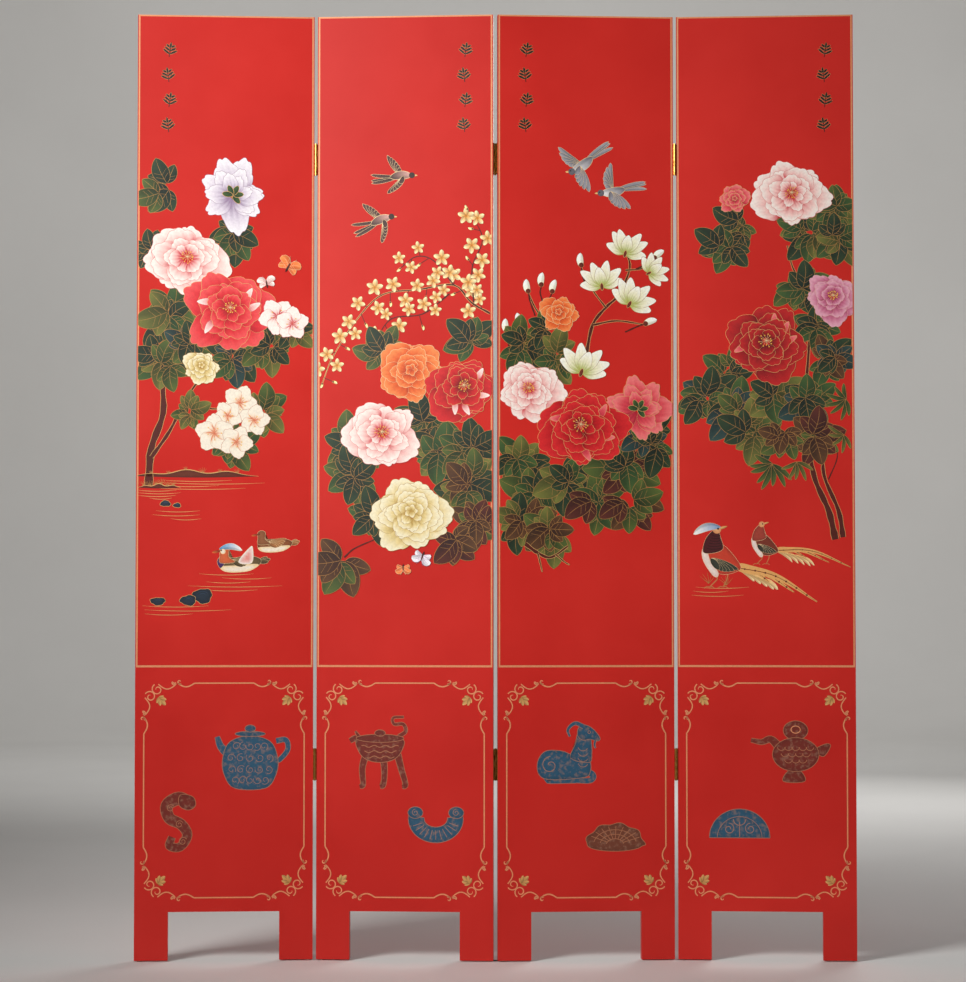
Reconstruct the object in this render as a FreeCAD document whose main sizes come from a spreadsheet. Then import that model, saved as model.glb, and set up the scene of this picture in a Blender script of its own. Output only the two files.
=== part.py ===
import FreeCAD, Part
import math
import os

import Sketcher
from FreeCAD import Placement, Rotation, Vector

# Four-leaf folding floor screen. +X runs along the screen to the viewer's right, the viewer stands at -Y,
# and +Z is up. The origin is on the floor under the middle of the screen as it stands in its zigzag.
# A panel's own frame has its origin at the floor, on its left edge, halfway through its thickness.

DIMENSIONS = {
    # whole screen
    "screen_height": 2134.0,
    "panel_width": 399.0,
    "panel_thickness": 22.0,
    "panel_gap": 7.4,
    "zigzag_angle": 4.0,
    # panel: boards on a frame of stiles and rails
    "board_thickness": 3.0,
    "stile_width": 75.0,
    "rail_height": 60.0,
    "notch_height": 108.0,
    # nail-on glides under the feet
    "glide_radius": 6.0,
    "glide_thickness": 2.5,
    "glide_inset": 12.0,
    "nail_radius": 1.0,
    "nail_length": 12.0,
    "nail_hole_radius": 1.05,
    # butt hinges
    "hinge_low_centre": 439.0,
    "hinge_high_centre": 1808.0,
    "leaf_height": 70.0,
    "leaf_reach": 17.5,
    "leaf_thickness": 1.6,
    "axis_proud": 1.5,
    "knuckle_radius": 3.0,
    "knuckle_play": 0.2,
    "knuckle_relief": 0.3,
    "pin_radius": 1.25,
    "pin_bore_radius": 1.3,
    "pin_head_radius": 2.6,
    "pin_head_height": 1.2,
    # countersunk wood screws
    "screw_pitch": 24.0,
    "screw_row": 10.5,
    "screw_radius": 1.5,
    "screw_length": 16.0,
    "screw_head_radius": 2.9,
    "screw_head_height": 1.3,
    "screw_play": 0.1,
}
PANELS = (1, 2, 3, 4)
SIDES = ("left", "right")
LEVELS = ("lower", "upper")
KNUCKLES = 5
SCREWS_PER_LEAF = 3
# The face that each joint's axis is on: panels fold towards it.
AXIS_FACE = {(1, 2): "front", (2, 3): "back", (3, 4): "front"}

doc = FreeCAD.newDocument("folding_screen")
sheet = doc.addObject("Spreadsheet::Sheet", "Dims")
for row, (alias, value) in enumerate(DIMENSIONS.items(), start=1):
    sheet.set(f"A{row}", alias)
    sheet.set(f"B{row}", str(value))
    sheet.setAlias(f"B{row}", alias)
doc.recompute()

subparts = []


def size(alias):
    """A driving dimension, read from the sheet."""
    return float(getattr(sheet, alias))


HALF_THICK = size("panel_thickness") / 2
HALF_GAP = size("panel_gap") / 2
AXIS_OFFSET = HALF_THICK + size("axis_proud")
FRAME_HALF = HALF_THICK - size("board_thickness")
HINGE_CENTRES = {"lower": size("hinge_low_centre"), "upper": size("hinge_high_centre")}
KNUCKLE_PITCH = size("leaf_height") / KNUCKLES


def bind(obj, expressions):
    """Ties properties of an object to formulas over the sheet."""
    for prop, formula in expressions.items():
        obj.setExpression(prop, formula)
    return obj


def box(name, length, width, height, at=None):
    """A block whose sizes, and corner if given, are formulas over the sheet."""
    block = doc.addObject("Part::Box", name)
    bind(block, {"Length": length, "Width": width, "Height": height})
    if at:
        bind(block, {f"Placement.Base.{key}": text for key, text in zip("xyz", at)})
    return block


def cylinder(name, radius, height, at, turn=Rotation()):
    """A round bar from a given point, along +Z unless turned."""
    bar = doc.addObject("Part::Cylinder", name)
    bar.Placement = Placement(at, turn)
    return bind(bar, {"Radius": radius, "Height": height})


def fuse(name, shapes):
    joined = doc.addObject("Part::MultiFuse", name)
    joined.Shapes = shapes
    return joined


def cut(name, base, tools):
    """The base without the tools."""
    tool = tools[0] if len(tools) == 1 else fuse(f"{name}_tools", tools)
    result = doc.addObject("Part::Cut", name)
    result.Base = base
    result.Tool = tool
    return result


def compound(name, members):
    group = doc.addObject("Part::Compound", name)
    group.Links = members
    return group


def keep(obj, label, place):
    """Registers an object as a sub-part with its name and its place in the screen."""
    obj.Label = label
    obj.Placement = place.multiply(obj.Placement)
    subparts.append(obj)
    return obj


# --- where the panels stand -------------------------------------------------------------------------------


def panel_turn(panel):
    """The panels turn one way and the other about +Z, so that the screen stands in a zigzag."""
    sign = 1 if panel % 2 else -1
    return Rotation(Vector(0, 0, 1), sign * size("zigzag_angle"))


def joint_faces(panel, side):
    """The face that the hinge axis on one side of a panel is on, or None at a free edge."""
    pair = (panel - 1, panel) if side == "left" else (panel, panel + 1)
    return AXIS_FACE.get(pair)


def axis_in_panel(panel, side):
    """The hinge axis on one side of a panel, in the panel's frame."""
    u = -HALF_GAP if side == "left" else size("panel_width") + HALF_GAP
    w = -AXIS_OFFSET if joint_faces(panel, side) == "front" else AXIS_OFFSET
    return Vector(u, w, 0)


def chain_panels():
    """Panel places, found by linking panels at their hinge axes and then centring the whole."""
    places = {}
    for panel in PANELS:
        turn = panel_turn(panel)
        if panel == PANELS[0]:
            places[panel] = Placement(Vector(), turn)
            continue
        shared = places[panel - 1].multVec(axis_in_panel(panel - 1, "right"))
        places[panel] = Placement(shared - turn.multVec(axis_in_panel(panel, "left")), turn)
    corners = [
        places[panel].multVec(Vector(u, w, 0))
        for panel in PANELS
        for u in (0, size("panel_width"))
        for w in (-HALF_THICK, HALF_THICK)
    ]
    middle_x = (min(p.x for p in corners) + max(p.x for p in corners)) / 2
    middle_y = (min(p.y for p in corners) + max(p.y for p in corners)) / 2
    for place in places.values():
        place.Base = place.Base - Vector(middle_x, middle_y, 0)
    return places


PLACES = chain_panels()


def place_of(panel):
    return Placement(PLACES[panel].Base, PLACES[panel].Rotation)


def screw_heights():
    """Heights of the screws of one leaf above the leaf's lower end."""
    middle = size("leaf_height") / 2
    first = middle - size("screw_pitch") * (SCREWS_PER_LEAF - 1) / 2
    return [first + size("screw_pitch") * count for count in range(SCREWS_PER_LEAF)]


def screw_points(panel, side):
    """Where the screws of a panel's edge enter it, in the panel's frame."""
    face = joint_faces(panel, side)
    if face is None:
        return []
    axis = axis_in_panel(panel, side)
    inward = 1 if face == "front" else -1
    u = 0 if side == "left" else size("panel_width")
    w = axis.y + inward * size("screw_row")
    foot = size("leaf_height") / 2
    return [Vector(u, w, HINGE_CENTRES[level] - foot + z) for level in LEVELS for z in screw_heights()]


# --- one panel --------------------------------------------------------------------------------------------


def glide_points():
    """Middles of the two glides of a panel, in the panel's frame, on the underside of the feet."""
    inset = size("glide_inset")
    return [Vector(u, 0, size("glide_thickness")) for u in (inset, size("panel_width") - inset)]


def make_stile(panel, side):
    """A full-height stile that ends as the foot, drilled for the hinge screws and the glide nail."""
    name = f"panel_{panel}_stile_{side}"
    left = side == "left"
    corner_u = "0 mm" if left else "Dims.panel_width * 1 mm - Dims.stile_width * 1 mm"
    corner_w = "(Dims.board_thickness - Dims.panel_thickness / 2) * 1 mm"
    bar = box(
        f"{name}_bar",
        "Dims.stile_width",
        "Dims.panel_thickness - 2 * Dims.board_thickness",
        "Dims.screen_height - Dims.glide_thickness",
        (corner_u, corner_w, "Dims.glide_thickness * 1 mm"),
    )
    into_wood = Rotation(Vector(0, 1, 0), 90 if left else -90)
    pilot_radius = "Dims.screw_radius + Dims.screw_play"
    holes = []
    for count, point in enumerate(screw_points(panel, side)):
        holes.append(cylinder(f"{name}_pilot_{count}", pilot_radius, "Dims.screw_length", point, into_wood))
    nail_at = glide_points()[0 if left else 1]
    holes.append(cylinder(f"{name}_nail_hole", "Dims.nail_hole_radius", "Dims.nail_length", nail_at))
    keep(cut(name, bar, holes), name, place_of(panel))


def make_rails_and_core(panel):
    """The top and bottom rails between the stiles, and the core that fills the frame."""
    inner_width = "Dims.panel_width - 2 * Dims.stile_width"
    frame_depth = "Dims.panel_thickness - 2 * Dims.board_thickness"
    notch_top = size("glide_thickness") + size("notch_height")
    core_foot = notch_top + size("rail_height")
    core_height = "Dims.screen_height - Dims.glide_thickness - Dims.notch_height - 2 * Dims.rail_height"
    members = {
        "bottom_rail": ("Dims.rail_height", notch_top),
        "core": (core_height, core_foot),
        "top_rail": ("Dims.rail_height", size("screen_height") - size("rail_height")),
    }
    for kind, (height, foot) in members.items():
        name = f"panel_{panel}_{kind}"
        member = box(name, inner_width, frame_depth, height)
        member.Placement = Placement(Vector(size("stile_width"), -FRAME_HALF, foot), Rotation())
        keep(member, name, place_of(panel))


def plane_of(body, role):
    return next(feature for feature in body.Origin.OriginFeatures if feature.Role == role)


def sketch_on(body, role, name, lift=0.0):
    """An empty sketch on one of the body's own planes, lifted along the plane's normal."""
    sketch = body.newObject("Sketcher::SketchObject", name)
    sketch.AttachmentSupport = [(plane_of(body, role), "")]
    sketch.MapMode = "FlatFace"
    sketch.AttachmentOffset = Placement(Vector(0, 0, lift), Rotation())
    return sketch


def draw_steps(sketch, points):
    """A closed outline of level and upright lines through the points."""
    count = len(points)
    for index in range(count):
        start, end = points[index], points[(index + 1) % count]
        sketch.addGeometry(Part.LineSegment(Vector(*start, 0), Vector(*end, 0)), False)
    for index in range(count):
        start, end = points[index], points[(index + 1) % count]
        sketch.addConstraint(Sketcher.Constraint("Coincident", index, 2, (index + 1) % count, 1))
        kind = "Horizontal" if start[1] == end[1] else "Vertical"
        sketch.addConstraint(Sketcher.Constraint(kind, index))


def dimension(sketch, name, formula, kind, *geometry):
    """A named driving dimension of a sketch, tied to the sheet."""
    value = abs(float(sheet.evalExpression(formula)))
    index = sketch.addConstraint(Sketcher.Constraint(kind, *geometry, value))
    sketch.renameConstraint(index, name)
    sketch.setExpression(f"Constraints.{name}", f"({formula}) * 1 mm")


def make_board(panel, face):
    """A face board with the notch that leaves two feet."""
    name = f"panel_{panel}_{face}_board"
    body = doc.addObject("PartDesign::Body", name)
    # The XZ plane's normal points at the viewer, and the pad grows along it.
    lift = FRAME_HALF if face == "front" else -HALF_THICK
    sketch = sketch_on(body, "XZ_Plane", f"{name}_outline", lift)
    foot = size("glide_thickness")
    notch_top = foot + size("notch_height")
    top = size("screen_height")
    leg = size("stile_width")
    wide = size("panel_width")
    outline = [
        (0, foot), (leg, foot), (leg, notch_top), (wide - leg, notch_top),
        (wide - leg, foot), (wide, foot), (wide, top), (0, top),
    ]
    draw_steps(sketch, outline)
    sketch.addConstraint(Sketcher.Constraint("PointOnObject", 0, 1, -2))
    dimension(sketch, "foot_level", "Dims.glide_thickness", "DistanceY", -1, 1, 0, 1)
    dimension(sketch, "foot_level_right", "Dims.glide_thickness", "DistanceY", -1, 1, 4, 1)
    dimension(sketch, "left_foot", "Dims.stile_width", "DistanceX", 0, 1, 0, 2)
    dimension(sketch, "right_foot", "Dims.stile_width", "DistanceX", 4, 1, 4, 2)
    dimension(sketch, "notch", "Dims.notch_height", "DistanceY", 1, 1, 1, 2)
    dimension(sketch, "board_width", "Dims.panel_width", "DistanceX", 0, 1, 5, 1)
    dimension(sketch, "board_height", "Dims.screen_height - Dims.glide_thickness", "DistanceY", 5, 1, 5, 2)
    pad = body.newObject("PartDesign::Pad", f"{name}_pad")
    pad.Profile = sketch
    bind(pad, {"Length": "Dims.board_thickness"})
    body.Tip = pad
    keep(body, name, place_of(panel))


def make_glides(panel):
    """Two nail-on glides: a small disc under the foot and its nail up into the stile."""
    name = f"panel_{panel}_glides"
    members = []
    for count, point in enumerate(glide_points()):
        under = point - Vector(0, 0, size("glide_thickness"))
        disc = cylinder(f"{name}_disc_{count}", "Dims.glide_radius", "Dims.glide_thickness", under)
        nail = cylinder(f"{name}_nail_{count}", "Dims.nail_radius", "Dims.nail_length", point)
        members.append(fuse(f"{name}_{count}", [disc, nail]))
    keep(compound(name, members), name, place_of(panel))


def make_screws(panel):
    """The countersunk screws that hold the hinge leaves of a panel."""
    name = f"panel_{panel}_hinge_screws"
    members = []
    for side in SIDES:
        outward = -1 if side == "left" else 1
        into_wood = Rotation(Vector(0, 1, 0), -90 * outward)
        for count, point in enumerate(screw_points(panel, side)):
            tag = f"{name}_{side}_{count}"
            head_at = point + Vector(outward * size("leaf_thickness"), 0, 0)
            head = doc.addObject("Part::Cone", f"{tag}_head")
            head.Placement = Placement(head_at, into_wood)
            bind(head, {
                "Radius1": "Dims.screw_head_radius",
                "Radius2": "Dims.screw_radius",
                "Height": "Dims.screw_head_height",
            })
            shank = cylinder(f"{tag}_shank", "Dims.screw_radius", "Dims.screw_length", head_at, into_wood)
            members.append(fuse(tag, [head, shank]))
    keep(compound(name, members), name, place_of(panel))


# --- hinges -----------------------------------------------------------------------------------------------
# A leaf's own frame has the pin's axis as its Z axis, its lower end at zero, and the edge of its panel at
# half the gap along +X; the panel's thickness runs along +Y from the axis.

LEAF_TURNS = {
    ("right", "front"): Rotation(),
    ("left", "front"): Rotation(Vector(0, 1, 0), 180),
    ("left", "back"): Rotation(Vector(0, 0, 1), 180),
    ("right", "back"): Rotation(Vector(1, 0, 0), 180),
}


def make_leaf(pair, level, side):
    """A leaf: a plate on the panel's edge with alternate knuckles. The left leaf has the odd ones."""
    name = f"hinge_{pair[0]}_{pair[1]}_{level}_{side}_leaf"
    relief = "Dims.knuckle_radius + Dims.knuckle_relief"
    edge = "Dims.panel_gap / 2"
    plate = box(
        f"{name}_plate",
        "Dims.leaf_thickness",
        f"Dims.leaf_reach - ({relief})",
        "Dims.leaf_height",
        (f"({edge} - Dims.leaf_thickness) * 1 mm", f"({relief}) * 1 mm", "0 mm"),
    )
    solids = [plate]
    own = range(0, KNUCKLES, 2) if side == "left" else range(1, KNUCKLES, 2)
    for knuckle in own:
        foot = KNUCKLE_PITCH * knuckle + size("knuckle_play") / 2
        tall = f"Dims.leaf_height / {KNUCKLES} - Dims.knuckle_play"
        barrel = cylinder(f"{name}_barrel_{knuckle}", "Dims.knuckle_radius", tall, Vector(0, 0, foot))
        strap = box(
            f"{name}_strap_{knuckle}",
            "Dims.leaf_thickness",
            f"{relief} + Dims.leaf_thickness",
            tall,
            (f"({edge} - Dims.leaf_thickness) * 1 mm", "0 mm", f"{foot} mm"),
        )
        web = box(
            f"{name}_web_{knuckle}", edge, "Dims.knuckle_radius", tall, ("0 mm", "0 mm", f"{foot} mm")
        )
        solids += [barrel, strap, web]
    bore = cylinder(f"{name}_bore", "Dims.pin_bore_radius", "Dims.leaf_height", Vector(0, 0, 0))
    tools = [bore]
    face_x = HALF_GAP - size("leaf_thickness")
    clear_radius = "Dims.screw_radius + Dims.screw_play"
    for count, z in enumerate(screw_heights()):
        at = Vector(face_x, size("screw_row"), z)
        along = Rotation(Vector(0, 1, 0), 90)
        sink = doc.addObject("Part::Cone", f"{name}_sink_{count}")
        sink.Placement = Placement(at, along)
        bind(sink, {
            "Radius1": "Dims.screw_head_radius + Dims.screw_play",
            "Radius2": clear_radius,
            "Height": "Dims.screw_head_height",
        })
        clear = cylinder(f"{name}_clear_{count}", clear_radius, "Dims.screw_length", at, along)
        tools += [sink, clear]
    leaf = cut(name, fuse(f"{name}_body", solids), tools)
    keep(leaf, name, leaf_place(pair, level, side))


def leaf_place(pair, level, side):
    """A leaf stands on the panel at its side of the joint, turned to suit the side and the face."""
    panel = pair[0] if side == "left" else pair[1]
    turn = LEAF_TURNS[(side, AXIS_FACE[pair])]
    flipped = turn.multVec(Vector(0, 0, 1)).z < 0
    half = size("leaf_height") / 2
    foot = HINGE_CENTRES[level] + (half if flipped else -half)
    axis = axis_in_panel(panel, "right" if side == "left" else "left")
    return place_of(panel).multiply(Placement(axis + Vector(0, 0, foot), turn))


def make_pin(pair, level):
    """A pin with a low head at each end, turned in one piece."""
    name = f"hinge_{pair[0]}_{pair[1]}_{level}_pin"
    body = doc.addObject("PartDesign::Body", name)
    sketch = sketch_on(body, "XZ_Plane", f"{name}_profile")
    radius = size("pin_radius")
    head = size("pin_head_radius")
    low, high = 0.0, size("leaf_height")
    rise = size("pin_head_height")
    profile = [
        (0, low - rise), (head, low - rise), (head, low), (radius, low),
        (radius, high), (head, high), (head, high + rise), (0, high + rise),
    ]
    draw_steps(sketch, profile)
    sketch.addConstraint(Sketcher.Constraint("PointOnObject", 0, 1, -2))
    sketch.addConstraint(Sketcher.Constraint("PointOnObject", 2, 1, -1))
    dimension(sketch, "lower_head", "Dims.pin_head_height", "DistanceY", 1, 1, 1, 2)
    dimension(sketch, "lower_head_radius", "Dims.pin_head_radius", "DistanceX", 0, 1, 0, 2)
    dimension(sketch, "shaft_radius", "Dims.pin_radius", "DistanceX", 0, 1, 3, 1)
    dimension(sketch, "shaft_length", "Dims.leaf_height", "DistanceY", 3, 1, 3, 2)
    dimension(sketch, "upper_head_radius", "Dims.pin_head_radius", "DistanceX", 0, 1, 5, 1)
    dimension(sketch, "upper_head", "Dims.pin_head_height", "DistanceY", 5, 1, 5, 2)
    turned = body.newObject("PartDesign::Revolution", f"{name}_turned")
    turned.Profile = sketch
    turned.ReferenceAxis = (sketch, ["V_Axis"])
    turned.Angle = 360
    body.Tip = turned
    axis = axis_in_panel(pair[0], "right")
    foot = HINGE_CENTRES[level] - size("leaf_height") / 2
    place = place_of(pair[0]).multiply(Placement(axis + Vector(0, 0, foot), Rotation()))
    keep(body, name, place)


for panel in PANELS:
    for side in SIDES:
        make_stile(panel, side)
    make_rails_and_core(panel)
    for face in ("front", "back"):
        make_board(panel, face)
    make_glides(panel)
    make_screws(panel)
for pair in AXIS_FACE:
    for level in LEVELS:
        for side in SIDES:
            make_leaf(pair, level, side)
        make_pin(pair, level)

doc.recompute()

# --- checks, then one file for each sub-part --------------------------------------------------------------

for obj in doc.Objects:
    if "Invalid" in obj.State or "Error" in obj.State:
        raise RuntimeError(f"{obj.Label} did not rebuild: {obj.State}")
for part in subparts:
    if part.Shape.isNull() or not part.Shape.isValid():
        raise RuntimeError(f"{part.Label} has no valid shape")

foot_cut = size("notch_height") * (size("panel_width") - 2 * size("stile_width"))
board_area = size("panel_width") * (size("screen_height") - size("glide_thickness")) - foot_cut
for part in subparts:
    if part.Label.endswith("_board"):
        wanted = board_area * size("board_thickness")
        if abs(part.Shape.Volume - wanted) > 1.0:
            raise RuntimeError(f"{part.Label} has volume {part.Shape.Volume:.0f}, not {wanted:.0f}")

os.makedirs("parts", exist_ok=True)
for part in subparts:
    part.Shape.exportStep(os.path.join("parts", f"{part.Label}.step"))

for pair, face in AXIS_FACE.items():
    point = PLACES[pair[0]].multVec(axis_in_panel(pair[0], "right"))
    print(f"joint {pair[0]}-{pair[1]} on the {face}: x {point.x:.4f}, y {point.y:.4f}")
for panel in PANELS:
    base = PLACES[panel].Base
    middle = PLACES[panel].multVec(Vector(size("panel_width") / 2, 0, 0))
    glides = [PLACES[panel].multVec(point) for point in glide_points()]
    spots = ", ".join(f"({point.x:.3f}, {point.y:.3f})" for point in glides)
    print(f"panel {panel}: corner {base.x:.3f}, {base.y:.3f}; glides {spots}")
    print(f"panel {panel}: middle {middle.x:.3f}, {middle.y:.3f}")
print(f"{len(subparts)} sub-parts")
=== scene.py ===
import math
import random

import bmesh
import bpy
import numpy as np
from mathutils import Euler, Matrix, Vector
from mathutils.geometry import delaunay_2d_cdt


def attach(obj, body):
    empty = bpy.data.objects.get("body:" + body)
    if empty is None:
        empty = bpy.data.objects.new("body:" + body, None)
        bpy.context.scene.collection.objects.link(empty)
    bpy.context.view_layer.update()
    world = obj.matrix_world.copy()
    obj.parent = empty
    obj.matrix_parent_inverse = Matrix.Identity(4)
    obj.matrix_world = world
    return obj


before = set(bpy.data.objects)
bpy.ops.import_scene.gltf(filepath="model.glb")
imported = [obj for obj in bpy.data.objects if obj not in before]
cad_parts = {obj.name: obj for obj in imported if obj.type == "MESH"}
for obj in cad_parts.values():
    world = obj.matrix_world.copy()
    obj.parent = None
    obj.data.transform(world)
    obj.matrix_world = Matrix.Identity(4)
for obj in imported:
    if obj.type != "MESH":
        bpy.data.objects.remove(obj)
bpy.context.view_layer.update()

# The painted and gilded decoration of a four-panel folding screen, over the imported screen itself.
# Each panel is decorated in its own flat frame, in millimetres: u runs from its left edge, v up from the
# floor and h out of its front face. place_on_panel() sets the finished meshes on the panel. The studio, the
# camera and the lights are in metres.

MM = 0.001

FIELD_SIDE = 1.8          # the gold line of the upper field starts this far in from the panel's edges
FIELD_LINE = 3.4
FIELD_FOOT = 660.0
FIELD_FOOT_LINE = 4.6
FIRST_STROKE = 0.05       # height of the lowest paint above the lacquer
PAINT_STEP = 0.0022       # each stroke of paint lies this much above the last
GOLD_RISE = 0.0013        # a gold line over the paint it is drawn on


# --- colours ----------------------------------------------------------------------------------------------


def srgb(red, green, blue):
    """A colour given as 8-bit screen values, as linear light."""
    def linear(value):
        value = value / 255
        return value / 12.92 if value <= 0.04045 else ((value + 0.055) / 1.055) ** 2.4
    return np.array([linear(red), linear(green), linear(blue)])


GOLD = srgb(226, 178, 112)
PALE_GOLD = srgb(244, 212, 160)
FIELD_GOLD = srgb(240, 158, 112)
LEAF_GOLD = srgb(190, 138, 78)
BARK = srgb(84, 26, 16)
TWIG = srgb(110, 44, 28)
STEM = srgb(92, 96, 44)
INK = srgb(34, 16, 12)
BLUE = srgb(34, 84, 112)
CLAY = srgb(118, 32, 16)
SLATE = srgb(36, 48, 62)
WHITE = srgb(246, 240, 230)

LEAF_TONES = {  # towards the stalk, towards the tip
    "dark": (srgb(14, 32, 22), srgb(42, 62, 36)),
    "green": (srgb(26, 54, 28), srgb(66, 90, 42)),
    "olive": (srgb(58, 62, 26), srgb(112, 112, 50)),
    "moss": (srgb(36, 52, 24), srgb(84, 98, 42)),
    "brown": (srgb(56, 28, 16), srgb(92, 60, 32)),
    "rust": (srgb(52, 20, 16), srgb(88, 38, 28)),
    "teal": (srgb(16, 34, 36), srgb(44, 70, 66)),
}

PETAL_TONES = {  # deep in the flower, half way, at the tip, and its contour
    "pink": (srgb(206, 46, 62), srgb(248, 196, 188), srgb(253, 240, 230), srgb(222, 120, 114)),
    "lilac": (srgb(150, 124, 156), srgb(222, 210, 222), srgb(246, 240, 242), srgb(166, 138, 160)),
    "coral": (srgb(176, 20, 34), srgb(222, 40, 50), srgb(240, 84, 84), GOLD),
    "red": (srgb(124, 6, 14), srgb(190, 14, 24), srgb(218, 34, 38), GOLD),
    "wine": (srgb(98, 4, 10), srgb(158, 10, 18), srgb(192, 26, 28), GOLD),
    "orange": (srgb(190, 58, 16), srgb(232, 98, 38), srgb(246, 140, 74), PALE_GOLD),
    "cream": (srgb(184, 144, 62), srgb(232, 208, 140), srgb(250, 240, 206), srgb(190, 150, 84)),
    "mauve": (srgb(158, 44, 80), srgb(204, 108, 140), srgb(236, 172, 190), srgb(232, 180, 170)),
    "rose": (srgb(176, 28, 50), srgb(222, 68, 80), srgb(244, 126, 124), GOLD),
    "white": (srgb(222, 116, 70), srgb(244, 208, 172), srgb(248, 236, 216), srgb(206, 140, 104)),
    "magnolia": (srgb(178, 186, 92), srgb(244, 238, 204), srgb(254, 252, 240), srgb(166, 120, 84)),
    "yellow": (srgb(214, 146, 48), srgb(250, 220, 120), srgb(254, 242, 190), srgb(190, 122, 60)),
}


def mix(first, second, share):
    """The second colour's share over the first."""
    share = np.clip(np.asarray(share, float), 0, 1)[..., None]
    return first * (1 - share) + second * share


def ease(low, high, value):
    """A smooth step from 0 at low to 1 at high."""
    share = np.clip((value - low) / (high - low), 0, 1)
    return share * share * (3 - 2 * share)


# --- meshes of raised paint -------------------------------------------------------------------------------


class Relief:
    """Closed flakes of paint or gold on one panel, gathered to become one mesh."""

    def __init__(self):
        self.points, self.colours, self.faces = [], [], []
        self.count = 0

    def add(self, points, colours, faces):
        """Another flake, its faces numbered from its own first point."""
        self.points.append(points)
        self.colours.append(np.broadcast_to(colours, (len(points), 3)))
        self.faces += [[index + self.count for index in face] for face in faces]
        self.count += len(points)


class Panel:
    """The layers of paint of one panel, and how high the paint has built up."""

    def __init__(self, number):
        self.number = number
        self.layers = {}
        self.height = self.highest = FIRST_STROKE
        self.random = random.Random(number)

    def layer(self, name):
        return self.layers.setdefault(name, Relief())

    def stroke(self):
        """Raise the paint by one stroke, and give the height it reaches."""
        self.height += PAINT_STEP
        self.highest = max(self.highest, self.height)
        return self.height

    def on_lacquer(self):
        """Start again on the bare lacquer, for motifs that lie clear of the ones before."""
        self.height = FIRST_STROKE

    def line(self, layer, points, widths, colour):
        """A line that is a stroke of its own."""
        ribbon(self.layer(layer), points, widths, self.stroke(), colour)

    def gild(self, layer, points, widths, colour):
        """A line drawn over the last stroke."""
        ribbon(self.layer(layer), points, widths, self.height + GOLD_RISE, colour)


def at(u, v):
    return np.array([u, v], float)


def polar(radius, degrees):
    """Steps away from a point: radius and degrees may be arrays."""
    turn = np.radians(degrees)
    return np.stack([radius * np.cos(turn), radius * np.sin(turn)], -1)


GRID_FACES = {}          # worked out once for each size of grid


def grid_faces(rows, cols):
    """Faces of a grid with a skirt and an underside, and the grid's rim in order."""
    if (rows, cols) not in GRID_FACES:
        index = np.arange(rows * cols).reshape(rows, cols)
        top = np.stack([index[:-1, :-1], index[:-1, 1:], index[1:, 1:], index[1:, :-1]], -1).reshape(-1, 4)
        rim = np.concatenate([index[0, :-1], index[:-1, -1], index[-1, :0:-1], index[:0:-1, 0]])
        low = rows * cols + np.arange(len(rim))
        skirt = np.stack([rim, low, np.roll(low, -1), np.roll(rim, -1)], -1)
        GRID_FACES[rows, cols] = (top.tolist() + skirt.tolist() + [low[::-1].tolist()], rim)
    return GRID_FACES[rows, cols]


def flake(relief, flat, height, colours):
    """A closed flake of paint over a grid of (u, v) points."""
    rows, cols = flat.shape[:2]
    faces, rim = grid_faces(rows, cols)
    top = np.dstack([flat, np.full((rows, cols), height)]).reshape(-1, 3)
    tint = np.broadcast_to(colours, (rows, cols, 3)).reshape(-1, 3)
    low = top[rim].copy()
    low[:, 2] = 0
    relief.add(np.vstack([top, low]), np.vstack([tint, tint[rim]]), faces)


def smooth(points, closed=False, steps=5):
    """A Catmull-Rom curve through the points."""
    points = np.asarray(points, float)
    if closed:
        ring = np.vstack([points[-1], points, points[:2]])
    else:
        ring = np.vstack([2 * points[0] - points[1], points, 2 * points[-1] - points[-2]])
    curve = []
    for a, b, c, d in zip(ring, ring[1:], ring[2:], ring[3:]):
        for t in np.arange(steps) / steps:
            bend = (2 * a - 5 * b + 4 * c - d) * t ** 2 + (3 * b - a - 3 * c + d) * t ** 3
            curve.append(0.5 * (2 * b + (c - a) * t + bend))
    if not closed:
        curve.append(points[-1])
    return np.array(curve)


def ribbon(relief, line, widths, height, colour):
    """A raised line of the given widths."""
    line = np.asarray(line, float)
    run = np.gradient(line, axis=0)
    run /= np.maximum(np.linalg.norm(run, axis=1, keepdims=True), 1e-6)
    normal = np.stack([-run[:, 1], run[:, 0]], -1)
    half = np.broadcast_to(np.asarray(widths, float), (len(line),))[:, None] / 2
    flake(relief, np.stack([line - normal * half, line + normal * half], 1), height, colour)


def closed(line):
    """A line brought round past its first point, so that its ends overlap."""
    return np.vstack([line, line[:2]])


def straight(start, end):
    """Three points of a straight line, which is what a ribbon needs."""
    return [start, (start + end) / 2, end]


def tapered(count, wide, start=0.3, end=0.3):
    """Widths of a brush line that thins at its ends."""
    t = np.linspace(0, 1, count)
    return wide * (start + (1 - start) * ease(0, 0.3, t)) * (end + (1 - end) * ease(0, 0.3, 1 - t))


def edge_distance(points, outline):
    """How far each point is from an outline."""
    run = np.roll(outline, -1, 0) - outline
    along = np.einsum("pnk,nk->pn", points[:, None] - outline[None], run)
    along /= np.maximum((run ** 2).sum(1), 1e-9)
    near = outline[None] + np.clip(along, 0, 1)[..., None] * run[None]
    return np.linalg.norm(points[:, None] - near, axis=2).min(1)


def inside(points, outline):
    """Which points an outline holds, by counting its crossings of a line to the right."""
    held = np.zeros(len(points), bool)
    for a, b in zip(outline, np.roll(outline, -1, 0)):
        spans = (a[1] > points[:, 1]) != (b[1] > points[:, 1])
        crossing = (b[0] - a[0]) * (points[:, 1] - a[1]) / (b[1] - a[1] + 1e-12) + a[0]
        held ^= spans & (points[:, 0] < crossing)
    return held


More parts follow.
